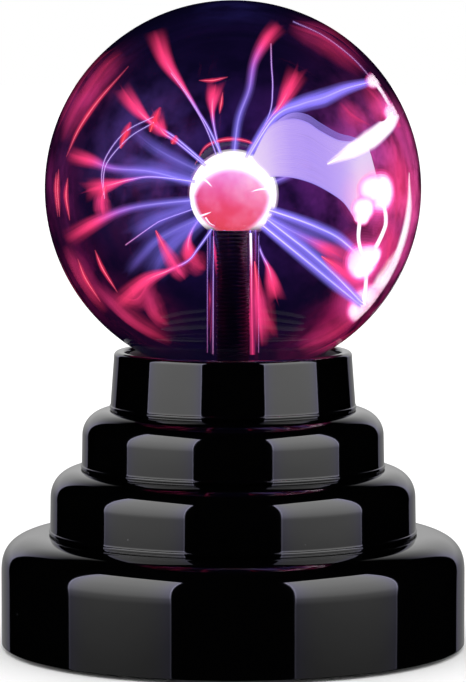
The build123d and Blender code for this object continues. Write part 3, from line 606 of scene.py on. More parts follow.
def sheet_glow(plasma):
    """A broad veil of discharge: lavender, ribbed with fine lines, with a bright line along each border."""
    shader = Shader("sheet_glow")
    tree = shader.tree
    place = shader.along_ribbon()
    heat = shader.carried("level")
    fibres = use(shader, fibre_effect(), Place=place, Along=1.3, Across=16.0)
    off = fibres["Off Middle"]
    _, across, _ = parts(tree, place)
    wave = maths(tree, "MULTIPLY_ADD", fibres["Strands"], 6.0, maths(tree, "MULTIPLY", across, 150.0))
    ribs = maths(tree, "POWER", maths(tree, "ABSOLUTE", maths(tree, "SINE", wave)), 3.0)
    inward = maths(tree, "SUBTRACT", 1.0, off)
    edge = maths(tree, "MULTIPLY", inward, 40.0, clamp=True)
    rim = maths(tree, "EXPONENT", maths(tree, "MULTIPLY", inward, -28.0))
    body = maths(tree, "MULTIPLY_ADD", fibres["Strands"], 0.7, 0.50)
    body = maths(tree, "ADD", maths(tree, "MULTIPLY_ADD", ribs, 0.10, body), maths(tree, "MULTIPLY", rim, 0.5))
    cover = maths(tree, "MULTIPLY", maths(tree, "MULTIPLY", body, edge, clamp=True), heat, clamp=True)
    lines = maths(tree, "MULTIPLY_ADD", ribs, 0.22, maths(tree, "MULTIPLY", rim, -0.35))
    tone = maths(tree, "MULTIPLY_ADD", heat, 0.45, lines)
    glow = ramp(tree, tone, [(0.15, (0.16, 0.12, 0.66)), (0.45, (0.38, 0.27, 0.95)), (0.75, (0.60, 0.42, 1.0)),
                             (1.0, (0.85, 0.68, 1.0))])
    return lit(shader, glow, 1.0 * plasma.power, cover)


def hot_glow(plasma):
    """A ball of light: white in the middle, pink and then magenta towards its outside."""
    shader = Shader("hot_spot_glow")
    level = shader.carried("level")
    share = shader.carried("redness")
    glow = ramp(shader.tree, share, [
        (0.65, (1.0, 1.0, 1.0)), (0.78, (1.0, 0.70, 1.0)), (0.9, (1.0, 0.14, 0.60)), (1.0, plasma.magenta),
    ])
    return lit(shader, glow, 2.0 * plasma.power, level)


def electrode_face(plasma, ball_low, ball_high):
    """The lit coating: white at the crown, pink round the middle and coral below."""
    shader = Shader("electrode_face")
    tree = shader.tree
    _, _, height = parts(tree, shader.place())
    height = between(tree, height, ball_low, ball_high)
    cloud = noise(tree, shader.place(), 130.0, 2.0)
    level = maths(tree, "MULTIPLY_ADD", maths(tree, "SUBTRACT", cloud, 0.5), 0.11, height)
    glow = ramp(tree, level, [
        (0.0, (1.0, 0.085, 0.12)), (0.30, plasma.coral), (0.55, (1.0, 0.135, 0.38)), (0.75, (1.0, 0.22, 0.68)),
        (0.97, (1.0, 0.50, 1.0)),
    ])
    shader.set(
        Base_Color=(0.02, 0.005, 0.01), Roughness=0.6, Specular_IOR_Level=0.0, Emission_Color=glow,
        Emission_Strength=1.0 * plasma.power,
    )
    shader.material.cycles.emission_sampling = "NONE"
    return shader.material


def corona_glow(plasma, centre_z):
    """The skin of light round the electrode, hottest over its crown and towards the big sheet."""
    shader = Shader("corona_glow")
    tree = shader.tree
    way = shader.way_from(centre_z)
    hot = shader.add("ShaderNodeVectorMath", [way, (0.62, 0.1, 0.78)], operation="DOT_PRODUCT")
    level = maths(tree, "MULTIPLY_ADD", hot.outputs["Value"], 0.5, noise(tree, way, 2.2, 3.0))
    cover = between(tree, level, 0.15, 1.0, 0.0, 0.12)
    glow = ramp(tree, level, [(0.2, (1.0, 0.30, 0.75)), (0.6, (0.95, 0.65, 1.0)), (0.9, (1.0, 0.95, 1.0))])
    return lit(shader, glow, 1.6 * plasma.power, cover)


def patch_effect():
    """Adds a soft patch of light to a colour, round one direction from the globe's middle."""

    def build(tree, given, result):
        ends = [given["Way"], given["Centre"]]
        toward = add_node(tree, "ShaderNodeVectorMath", ends, {"operation": "DISTANCE"})
        share = maths(tree, "DIVIDE", toward.outputs["Value"], given["Reach"])
        fall = maths(tree, "EXPONENT", maths(tree, "MULTIPLY", maths(tree, "MULTIPLY", share, share), -1.6))
        level = maths(tree, "MULTIPLY", fall, given["Cloud"], clamp=True)
        mixed = {0: level, 6: given["Under"], 7: given["Colour"]}
        light = add_node(tree, "ShaderNodeMix", mixed, {"data_type": "RGBA"})
        tree.links.new(light.outputs[2], result["Colour"])

    return group(
        "Glow Patch",
        [("Way", "NodeSocketVector", None), ("Centre", "NodeSocketVector", None),
         ("Reach", "NodeSocketFloat", 0.4), ("Cloud", "NodeSocketFloat", 1.0),
         ("Under", "NodeSocketColor", None), ("Colour", "NodeSocketColor", None)],
        [("Colour", "NodeSocketColor")],
        build,
    )


# Soft patches of light on the globe's far side: right, up, reach (shares of its radius) and colour.
GAS_PATCHES = (
    (0.0, 0.0, 0.62, (0.024, 0.009, 0.10)),
    (-0.55, 0.18, 0.40, (0.070, 0.034, 0.20)),
    (0.55, 0.05, 0.50, (0.085, 0.014, 0.15)),
    (0.00, 0.98, 0.26, (0.010, 0.008, 0.060)),
    (0.55, 0.80, 0.24, (0.085, 0.006, 0.060)),
    (-0.80, 0.54, 0.24, (0.34, 0.022, 0.15)),
    (-0.97, 0.00, 0.28, (0.13, 0.010, 0.085)),
    (-0.82, -0.50, 0.26, (0.13, 0.006, 0.060)),
    (-0.48, -0.72, 0.20, (0.11, 0.005, 0.040)),
    (0.40, -0.88, 0.24, (0.09, 0.006, 0.045)),
    (0.66, -0.70, 0.26, (0.42, 0.012, 0.11)),
    (0.88, -0.35, 0.34, (0.70, 0.050, 0.30)),
    (0.80, 0.14, 0.34, (0.58, 0.070, 0.40)),
    (0.97, 0.02, 0.34, (1.15, 0.12, 0.50)),
    (0.90, 0.32, 0.20, (0.80, 0.070, 0.36)),
)


def gas_painted_shade(plasma, centre_z):
    """Painted shade: the unlit gas, drawn as a dark far side that hides the white studio behind the globe, with
    the discharge's glow spread along the glass.
    """
    shader = Shader("gas_painted_shade")
    tree = shader.tree
    way = shader.way_from(centre_z)
    right, depth, up = parts(tree, way)
    mirrored = shader.add("ShaderNodeCombineXYZ", [right, maths(tree, "ABSOLUTE", depth), up]).outputs[0]
    cloud = between(tree, noise(tree, way, 5.0, 3.0, 0.55), 0.36, 0.66, 0.12, 1.15)
    # Painted shade of the gas, lightened where each patch of glow lies.
    light = plasma.gas
    for right, up, reach, shade in GAS_PATCHES:
        deep = sqrt(max(0.0, 1.0 - right**2 - up**2))
        light = use(shader, patch_effect(), Way=mirrored, Centre=(right, deep, up), Reach=reach, Cloud=cloud,
                    Under=light, Colour=shade)["Colour"]
    back = shader.add("ShaderNodeNewGeometry").outputs["Backfacing"]
    return lit(shader, light, 1.0 * plasma.power, back)


# ---------------------------------------------------------------- the base
def shoulder(inner, outer, top, height, squareness, steps=26):
    """A tier's rounded shoulder, from the wall's head up and in to the foot of the tier above."""
    width = outer - inner
    points = []
    for step in range(steps + 1):
        turn = pi / 2 * step / steps
        across = abs(cos(turn)) ** (2 / squareness)
        up = abs(sin(turn)) ** (2 / squareness)
        points.append((inner + width * across, top - height + height * up))
    return points


def foot_groove(radius, top):
    """The fine bead and groove where a wall stands on the shoulder below, as (rise, outward) steps in mm."""
    steps = (
        (-0.02, -0.30), (0.02, -0.34), (0.16, -0.35), (0.24, -0.28), (0.27, 0.14), (0.34, 0.20),
        (0.60, 0.22), (0.76, 0.20), (0.86, 0.14), (0.94, 0.03), (1.04, 0.0), (1.30, 0.0),
    )
    return [(radius + outward * MM, top + rise * MM) for rise, outward in steps]


class PLASMA_OT_base(bpy.types.Operator):
    """Model the stepped base as one smooth glossy shell, cut flat at the back"""

    bl_idname = "plasma_ball.base"
    bl_label = "Stepped Base"

    def execute(self, context):
        base = context.scene.plasma_base
        edge, wall, radius = BASE_EDGE, base.wall, base.radius
        chamfer, blend = 0.15 * MM, 3 * MM
        # Each tier from below: its wall's radius at the foot and at the head, its top's height over the base's
        # edge, the height and squareness of its shoulder (2 is an ellipse's), and the radius of the wall above.
        tiers = (
            (radius, radius, 22.4 * MM, 7.9 * MM, 2.7, 37.3 * MM),
            (37.3 * MM, 37.2 * MM, 35.7 * MM, 6.1 * MM, 2.2, 30.8 * MM),
            (30.8 * MM, 30.7 * MM, 47.75 * MM, 5.4 * MM, 2.1, 24.9 * MM),
        )
        outline = [(radius - wall, edge), (radius - 0.20 * MM, edge), (radius - chamfer, edge),
                   *arc(radius - chamfer, edge + chamfer, chamfer, 270, 360, 4)[1:], (radius, edge + 0.22 * MM)]
        for _, head, top, height, squareness, above in tiers:
            outline += shoulder(above, head, edge + top, height, squareness)
            outline += foot_groove(above, edge + top)
        outline += self.collar(base)
        for foot, _, top, height, _, above in reversed(tiers):
            outline += [(above - wall, edge + top - wall), (foot - wall - blend, edge + top - wall),
                        (foot - wall, edge + top - height)]
        shell = spun("base_shell_looks", outline, base.round_steps)
        self.cut_back(shell)
        smooth(shell, 28.0)
        finish(shell, gloss_black("gloss_black", tuple(base.black)), "gloss_black_shell", "base_shell")
        return {"FINISHED"}

    def collar(self, base):
        """The outline of the collar: its lip, its mouth, and the shelf that the globe's seal lies on."""
        lip, mouth_round = 0.9 * MM, 0.6 * MM
        neck_hole, inside = 17.0 * MM, 22.9 * MM
        rim, inner = COLLAR_TOP, base.mouth
        outline = [(base.collar, rim - lip - 0.3 * MM), *arc(base.collar - lip, rim - lip, lip, 0, 90, 8)]
        outline += arc(inner + mouth_round + 0.1 * MM, rim - mouth_round, mouth_round, 90, 180, 6)
        outline += [(inner, rim - 2 * mouth_round), (inner, SEAL_BOTTOM), (neck_hole, SEAL_BOTTOM)]
        return outline + [(neck_hole, SEAL_BOTTOM - base.wall), (inside, SEAL_BOTTOM - base.wall)]

    def cut_back(self, shell):
        """Thickens the back, and cuts its flat with the switch's slot and the inlet's hole."""
        flat_y, flat_low, flat_high = 45.0 * MM, 4.0 * MM, 15.5 * MM
        pad_half, pad_depth, pad_over = 14.0 * MM, 2.0 * MM, 0.4 * MM
        cut_half, cut_depth = 17.0 * MM, 5.0 * MM
        slot_half, slot_rise, half_travel = 2.85 * MM, 1.4 * MM, 1.25 * MM
        hole, hole_start, hole_end = 3.05 * MM, flat_y - 3.0 * MM, flat_y + MM
        knob, pin = (
            [(low + high) / 2 for low, high in zip(*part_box(node))] for node in ("switch_knob", "inlet_pin")
        )
        knob_x, knob_z = knob[0] + half_travel, knob[2]
        middle = (flat_low + flat_high) / 2
        reach = (flat_high - flat_low) / 2 + pad_over
        pad = block("pad", (-pad_half, flat_y - pad_depth, middle - reach),
                    (pad_half, flat_y + 0.6 * MM, middle + reach))
        cutter = block("cutter", (-cut_half, flat_y, flat_low), (cut_half, flat_y + cut_depth, flat_high))
        slot = block("slot", (knob_x - slot_half, hole_start, knob_z - slot_rise),
                     (knob_x + slot_half, hole_end, knob_z + slot_rise))
        combine(shell, pad, "UNION")
        combine(shell, cutter, "DIFFERENCE")
        combine(shell, slot, "DIFFERENCE")
        combine(shell, rod("hole", hole, hole_start, hole_end, pin[0], pin[2]), "DIFFERENCE")


# ---------------------------------------------------------------- the glass
class PLASMA_OT_globe(bpy.types.Operator):
    """Model the blown globe with its neck, and the dark far side of the gas inside it, which is painted shade
    """

    bl_idname = "plasma_ball.globe"
    bl_label = "Glass Globe"

    def execute(self, context):
        globe = context.scene.plasma_globe
        centre = GLOBE_TOP - globe.radius
        inside = globe.radius - globe.wall
        neck_inside = globe.neck - globe.wall
        outer_low = -degrees_at(globe.radius, globe.neck)
        inner_low = -degrees_at(inside, neck_inside)
        outline = [(neck_inside, NECK_BOTTOM), (globe.neck, NECK_BOTTOM)]
        outline += arc(0, centre, globe.radius, outer_low, 90, 90)
        outline += arc(0, centre, inside, 90, inner_low, 90)
        glass = spun("globe_looks", outline, 128)
        smooth(glass, 40.0)
        finish(glass, clear_glass("globe_glass", (1.0, 1.0, 1.0)).material, "globe_glass", "glass_globe")

        # The far side of the gas: a dark shell of painted shade, seen only from inside, that carries the
        # patches of glow.
        gap = 0.05 * MM
        low = -degrees_at(globe.radius - gap, globe.neck - gap)
        outline = [(globe.neck - gap, NECK_BOTTOM + gap), *arc(0, centre, globe.radius - gap, low, 90, 80)]
        far = spun("gas_far_side", outline, 96, closed=False)
        smooth(far, 60.0)
        finish(far, gas_painted_shade(context.scene.plasma_glow, centre), "plasma_glow")
        far.visible_glossy = True
        return {"FINISHED"}


def degrees_at(radius, reach):
    """How far below a sphere's equator its surface comes to a given distance from the axis, in degrees."""
    return atan2(sqrt(radius**2 - reach**2), reach) * 180 / pi


class PLASMA_OT_electrode(bpy.types.Operator):
    """Model the electrode: its glass ball and stem, the lit coating and the skin of light round it"""

    bl_idname = "plasma_ball.electrode"
    bl_label = "Electrode"

    def execute(self, context):
        globe = context.scene.plasma_globe
        plasma = context.scene.plasma_glow
        ball, stem, wall = globe.ball, globe.stem, globe.stem_wall
        centre = STEM_TOP - ball
        flare, clearance, coating_end = 3.0 * MM, 0.05 * MM, -56
        floor = NECK_BOTTOM + 0.4 * MM
        neck = globe.neck - globe.wall - clearance
        turn = stem + flare
        outline = [(turn, floor), (neck, floor), (neck, floor + wall), (turn, floor + wall)]
        outline += arc(turn, floor + wall + flare, flare, 270, 180, 10)[1:]
        outline += arc(0, centre, ball, -degrees_at(ball, stem), 90, 44)
        outline += arc(0, centre, ball - wall, 90, -degrees_at(ball - wall, stem - wall), 44)
        outline += arc(turn, floor + wall + flare, flare + wall, 180, 270, 10)[:-1]
        glass = spun("electrode_glass_looks", outline, 72)
        smooth(glass, 40.0)
        material = electrode_glass((0.93, 0.90, 1.0), centre - 0.80 * ball, centre + ball).material
        finish(glass, material, "stem_glass", "electrode_glass")

        outside = COATING_TOP - centre
        skin = outside - 0.25 * MM
        outline = arc(0, centre, outside, coating_end, 90, 48) + arc(0, centre, skin, 90, coating_end, 48)
        coating = spun("electrode_coating_looks", outline, 72)
        smooth(coating, 40.0)
        material = electrode_face(plasma, centre - 6.5 * MM, COATING_TOP)
        finish(coating, material, "plasma_glow", "electrode_coating")

        layers, first_gap, layer_gap = [], 0.06, 0.20
        for step in range(3):
            reach = ball + (first_gap + layer_gap * step) * MM
            low = -degrees_at(reach, stem + 0.15 * MM)
            layers.append(spun(f"corona_{step}", arc(0, centre, reach, low, 90, 40), 64, closed=False))
        corona = joined("electrode_corona", layers)
        smooth(corona, 60.0)
        finish(corona, corona_glow(plasma, centre), "plasma_glow")
        return {"FINISHED"}


def joined(name, pieces):
    """Makes one piece of several."""
    deselect_all()
    for piece in pieces:
        piece.select_set(True)
    bpy.context.view_layer.objects.active = pieces[0]
    bpy.ops.object.join()
    return named(bpy.context.object, name)


# ---------------------------------------------------------------- the discharge
def within(right, up, front):
    """A point in the globe, given in shares of its inside radius."""
    globe = bpy.context.scene.plasma_globe
    clearance = 0.6 * MM
    inside = globe.radius - globe.wall - clearance
    return Vector((right * inside, -front * inside, GLOBE_TOP - globe.radius + up * inside))


def on_glass(right, up, side):
    """A point of the glass, on its near side (1) or its far side (-1)."""
    brim = 0.985
    reach = sqrt(right**2 + up**2)
    share = min(1.0, brim / reach) if reach else 1.0
    right, up = right * share, up * share
    return within(right, up, side * sqrt(max(0.0, brim - right**2 - up**2)))


def curve_through(points, steps):
    """Evenly numbered points of a smooth curve through the given ones."""
    ends = [points[0] * 2 - points[1], *points, points[-1] * 2 - points[-2]]
    spans = len(points) - 1
    result = []
    for step in range(steps + 1):
        place = spans * step / steps
        span = min(int(place), spans - 1)
        t = place - span
        before, start, end, after = ends[span : span + 4]
        result.append(
            0.5 * (2 * start + (end - before) * t + (2 * before - 5 * start + 4 * end - after) * t**2
                   + (3 * start - before - 3 * end + after) * t**3)
        )
    return result


def eased(values, t):
    """A value read from an evenly spaced list, with straight runs between."""
    place = t * (len(values) - 1)
    step = min(int(place), len(values) - 2)
    return values[step] + (values[step + 1] - values[step]) * (place - step)


def ribbon(name, kind, points, blades=3, steps=36, across=4):
    """A streamer: blades of light that cross along one curve, so that it looks alike from all sides."""
    radius = bpy.context.scene.plasma_globe.radius
    widths, heats, flares, threads = KINDS[kind]
    path = curve_through(points, steps)
    made = []
    for blade in range(blades):
        piece = fresh(f"{name}_{blade}", "grid", x_subdivisions=steps, y_subdivisions=across, size=1)
        places = [vertex.co.x + 0.5 for vertex in piece.data.vertices]
        level, redness, core = ([eased(values, t) for t in places] for values in (heats, flares, threads))
        carry(piece, level=level, redness=redness, core=core)
        for vertex, t in zip(piece.data.vertices, places):
            aside = vertex.co.y * 2
            step = round(t * steps)
            here = path[step]
            ahead = path[min(step + 1, steps)] - path[max(step - 1, 0)]
            first = ahead.cross(Vector((0.21, 0.97, 0.13))).normalized()
            second = ahead.cross(first).normalized()
            turn = pi * blade / blades
            side = first * cos(turn) + second * sin(turn)
            vertex.co = here + side * aside * eased(widths, t) * radius
        made.append(piece)
    return made


def lit_ball(name, centre, radius, heat, inner_share=0.0, shells=9):
    """A ball of light: nested clear shells, hottest in the middle, and flat where they meet the glass."""
    globe = bpy.context.scene.plasma_globe
    middle = Vector((0, 0, GLOBE_TOP - globe.radius))
    clearance, inner_cover, fall = 0.2 * MM, 0.60, 0.565
    limit = globe.radius - globe.wall - clearance
    made = []
    for step in range(shells):
        share = (step + 1) / shells
        size = radius * share
        piece = fresh(f"{name}_{step}", "uv_sphere", segments=24, ring_count=12, radius=size, location=centre)
        apply_place(piece)
        for vertex in piece.data.vertices:
            reach = vertex.co - middle
            if reach.length > limit:
                vertex.co = middle + reach.normalized() * limit
        cover = min(1.0, heat * (inner_cover - fall * share**0.5))
        pink = inner_share + (1.0 - inner_share) * share
        count = len(piece.data.vertices)
        carry(piece, level=[cover] * count, redness=[pink] * count)
        made.append(piece)
    return made


# A streamer's kind: its widths (shares of the globe's radius), brightness, redness and core along its length.
KINDS = {
    "flare": ((0.014, 0.012, 0.012, 0.020, 0.052, 0.076), (1.0, 0.80, 0.80, 1.0, 1.15, 0.0),
              (0.0, 0.05, 0.25, 0.70, 0.80, 0.85), (1.0, 0.8, 0.7, 0.4, 0.0, 0.0)),
    "broad": ((0.030, 0.034, 0.034, 0.036, 0.052, 0.066), (0.55, 0.42, 0.40, 0.60, 0.85, 0.0),
              (0.0, 0.0, 0.1, 0.45, 0.80, 0.85), (0.3, 0.25, 0.2, 0.1, 0.0, 0.0)),
    "veil": ((0.040, 0.055, 0.060, 0.060, 0.050), (0.35, 0.28, 0.22, 0.15, 0.0), (0.0, 0.0, 0.0, 0.05, 0.1),
             (0.1, 0.1, 0.05, 0.0, 0.0)),
    "thread": ((0.008, 0.008, 0.008, 0.008, 0.008), (0.5, 0.5, 0.6, 0.5, 0.3), (0.1, 0.1, 0.2, 0.3, 0.5),
               (1.0, 1.0, 1.0, 1.0, 1.0)),
    "band": ((0.030, 0.050, 0.058, 0.036, 0.018), (1.3, 1.4, 1.5, 1.4, 1.4), (0.0, 0.0, 0.0, 0.02, 0.05),
             (1.1, 0.3, 0.2, 0.5, 1.6)),
    "ribbon": ((0.030, 0.038, 0.044, 0.044, 0.030), (1.4, 1.0, 0.75, 0.75, 1.1), (0.0, 0.0, 0.0, 0.0, 0.02),
               (1.2, 0.70, 0.45, 0.45, 1.1)),
    "haze": ((0.030, 0.070, 0.100, 0.110, 0.090), (0.34, 0.34, 0.28, 0.20, 0.0), (0.0, 0.0, 0.0, 0.0, 0.05),
             (0.0, 0.0, 0.0, 0.0, 0.0)),
    "flame": ((0.006, 0.030, 0.050, 0.055, 0.040), (0.9, 1.0, 1.0, 0.8, 0.0), (0.95, 0.85, 0.75, 0.75, 0.80),
              (0.3, 0.1, 0.0, 0.0, 0.0)),
    "coral": ((0.008, 0.022, 0.028, 0.022, 0.008), (0.7, 1.1, 1.2, 1.0, 0.4), (1.0, 1.0, 0.95, 0.9, 0.9),
              (0.3, 0.1, 0.0, 0.0, 0.0)),
    "blush": ((0.040, 0.080, 0.095, 0.080, 0.040), (0.0, 0.34, 0.42, 0.30, 0.0), (0.75, 0.75, 0.80, 0.85, 0.9),
              (0.0, 0.0, 0.0, 0.0, 0.0)),
    "sliver": ((0.004, 0.012, 0.016, 0.012, 0.004), (0.2, 0.9, 1.1, 0.9, 0.2), (0.9, 0.9, 0.9, 0.9, 0.9),
               (0.3, 0.3, 0.3, 0.3, 0.3)),
    "white": ((0.017, 0.013, 0.012, 0.013, 0.020), (2.0, 2.0, 2.0, 2.0, 2.0), (0.3, 0.2, 0.1, 0.2, 0.3),
              (2.4, 2.4, 2.4, 2.4, 2.4)),
    "rim": ((0.003, 0.018, 0.026, 0.022, 0.024), (0.9, 2.0, 1.9, 2.0, 2.0), (0.5, 0.2, 0.2, 0.1, 0.1),
            (1.9, 2.3, 2.1, 2.3, 2.4)),
    "wisp": ((0.002, 0.005, 0.007, 0.008, 0.010), (0.2, 0.9, 1.1, 1.2, 1.2), (0.2, 0.2, 0.1, 0.1, 0.1),
             (1.8, 1.8, 1.9, 2.0, 2.0)),
    "hot": ((0.034, 0.050, 0.062, 0.052, 0.012), (2.6, 2.6, 2.2, 1.5, 0.3), (0.3, 0.2, 0.1, 0.0, 0.0),
            (2.4, 2.4, 2.4, 2.2, 1.9)),
    "streak": ((0.009, 0.010, 0.012, 0.014, 0.018), (1.4, 1.2, 1.0, 0.9, 0.8), (0.4, 0.6, 0.7, 0.72, 0.74),
               (2.2, 1.6, 0.5, 0.1, 0.0)),
}

# Streamers that leave the electrode: kind, where they meet the glass (1 near side, -1 far side), the depth that
# they start at, and their way there as (right, up) shares of the globe's radius.
STREAMERS = (
    ("flare", 1, 0.05, ((-0.05, 0.20), (-0.13, 0.33), (-0.19, 0.43), (-0.27, 0.56), (-0.37, 0.71),
                        (-0.43, 0.88))),
    ("thread", 1, 0.0, ((-0.11, 0.20), (-0.12, 0.27), (-0.17, 0.39), (-0.25, 0.53), (-0.33, 0.65))),
    ("flare", -1, -0.05, ((-0.20, 0.20), (-0.32, 0.28), (-0.44, 0.35), (-0.53, 0.42), (-0.65, 0.56))),
    ("flare", 1, 0.10, ((-0.20, 0.19), (-0.31, 0.27), (-0.38, 0.33), (-0.42, 0.42))),
    ("flare", 1, 0.10, ((-0.23, 0.07), (-0.43, 0.075), (-0.56, 0.066), (-0.68, 0.04), (-0.79, 0.02))),
    ("veil", -1, -0.05, ((-0.21, 0.13), (-0.37, 0.18), (-0.50, 0.25), (-0.58, 0.31))),
    ("broad", -1, -0.10, ((-0.23, 0.03), (-0.45, 0.09), (-0.68, 0.11), (-0.80, 0.15), (-0.95, 0.19))),
    ("broad", 1, 0.05, ((-0.24, -0.07), (-0.43, -0.08), (-0.60, -0.11), (-0.75, -0.17), (-0.92, -0.27))),
    ("thread", -1, -0.1, ((-0.22, -0.12), (-0.38, -0.18), (-0.46, -0.23), (-0.63, -0.36))),
    ("veil", -1, -0.05, ((-0.18, -0.19), (-0.40, -0.28), (-0.52, -0.40), (-0.62, -0.52))),
    ("haze", -1, -0.05, ((-0.20, 0.06), (-0.36, 0.08), (-0.50, 0.08), (-0.66, 0.04))),
    ("haze", -1, 0.00, ((-0.22, -0.08), (-0.36, -0.15), (-0.48, -0.22), (-0.60, -0.30))),
    ("haze", -1, 0.00, ((-0.16, -0.18), (-0.30, -0.28), (-0.40, -0.40), (-0.48, -0.54))),
    ("haze", -1, 0.00, ((0.18, -0.18), (0.34, -0.24), (0.50, -0.33), (0.64, -0.46))),
    ("flare", 1, 0.08, ((-0.12, -0.24), (-0.19, -0.32), (-0.25, -0.39), (-0.36, -0.44), (-0.48, -0.49),
                        (-0.64, -0.62))),
    ("broad", -1, -0.10, ((0.00, 0.22), (0.03, 0.38), (0.09, 0.55), (0.12, 0.71), (0.19, 0.84),
                          (0.27, 0.93))),
    ("thread", -1, -0.15, ((0.10, 0.26), (0.20, 0.40), (0.225, 0.55), (0.22, 0.70), (0.22, 0.82))),
    ("flare", 1, 0.12, ((0.08, 0.24), (0.19, 0.38), (0.26, 0.48), (0.35, 0.66))),
    ("band", 1, 0.05, ((0.09, 0.23), (0.23, 0.40), (0.38, 0.475), (0.50, 0.51), (0.62, 0.56),
                       (0.73, 0.59), (0.80, 0.62))),
    ("ribbon", 1, 0.10, ((0.22, -0.13), (0.34, -0.155), (0.47, -0.20), (0.58, -0.25), (0.70, -0.35))),
    ("broad", 1, 0.05, ((0.20, -0.17), (0.32, -0.22), (0.46, -0.28), (0.60, -0.34))),
    ("ribbon", 1, 0.00, ((0.15, -0.21), (0.30, -0.31), (0.44, -0.42), (0.58, -0.53), (0.70, -0.62))),
    ("ribbon", 1, 0.04, ((0.19, -0.16), (0.30, -0.25), (0.42, -0.34), (0.56, -0.46), (0.70, -0.60))),
    ("flare", -1, -0.05, ((0.13, -0.24), (0.16, -0.37), (0.21, -0.49), (0.25, -0.68))),
    ("flare", -1, -0.20, ((-0.05, 0.10), (-0.10, 0.30), (-0.12, 0.45), (-0.10, 0.58))),
    ("broad", -1, -0.22, ((0.05, 0.0), (0.25, 0.03), (0.40, 0.10), (0.45, 0.16))),
    ("flare", -1, -0.22, ((-0.05, -0.05), (-0.20, -0.20), (-0.26, -0.34), (-0.24, -0.47))),
)

# Light caught in the electrode's stem: kind and way, as (right, up, towards the front) shares.
IN_STEM = (
    ("streak", ((0.098, -0.24, 0.12), (0.101, -0.40, 0.12), (0.104, -0.60, 0.12), (0.108, -0.92, 0.12))),
    ("flame", ((0.120, -0.40, 0.09), (0.140, -0.62, 0.09), (0.165, -0.88, 0.09))),
    ("thread", ((-0.140, -0.26, 0.04), (-0.141, -0.50, 0.04), (-0.142, -0.92, 0.04))),
    ("thread", ((-0.108, -0.26, 0.10), (-0.110, -0.50, 0.10), (-0.112, -0.92, 0.10))),
    ("thread", ((0.140, -0.26, 0.04), (0.141, -0.50, 0.04), (0.142, -0.92, 0.04))),
)

# Fine wisps on the electrode's ball and the arc behind it, as (right, up, towards the front) shares.
ON_BALL = (
    ("wisp", ((-0.115, 0.020, 0.225), (-0.138, 0.045, 0.208), (-0.170, 0.068, 0.175))),
    ("wisp", ((0.100, -0.005, 0.232), (0.140, 0.006, 0.213), (0.185, 0.010, 0.172))),
    ("wisp", ((-0.118, -0.118, 0.193), (-0.150, -0.132, 0.158), (-0.190, -0.148, 0.085))),
    ("wisp", ((-0.095, -0.195, 0.130), (-0.125, -0.180, 0.125), (-0.150, -0.150, 0.138))),
    ("sliver", ((-0.215, 0.13, -0.1), (-0.15, 0.235, -0.1), (-0.03, 0.275, -0.1), (0.09, 0.26, -0.1),
                (0.17, 0.20, -0.1))),
)

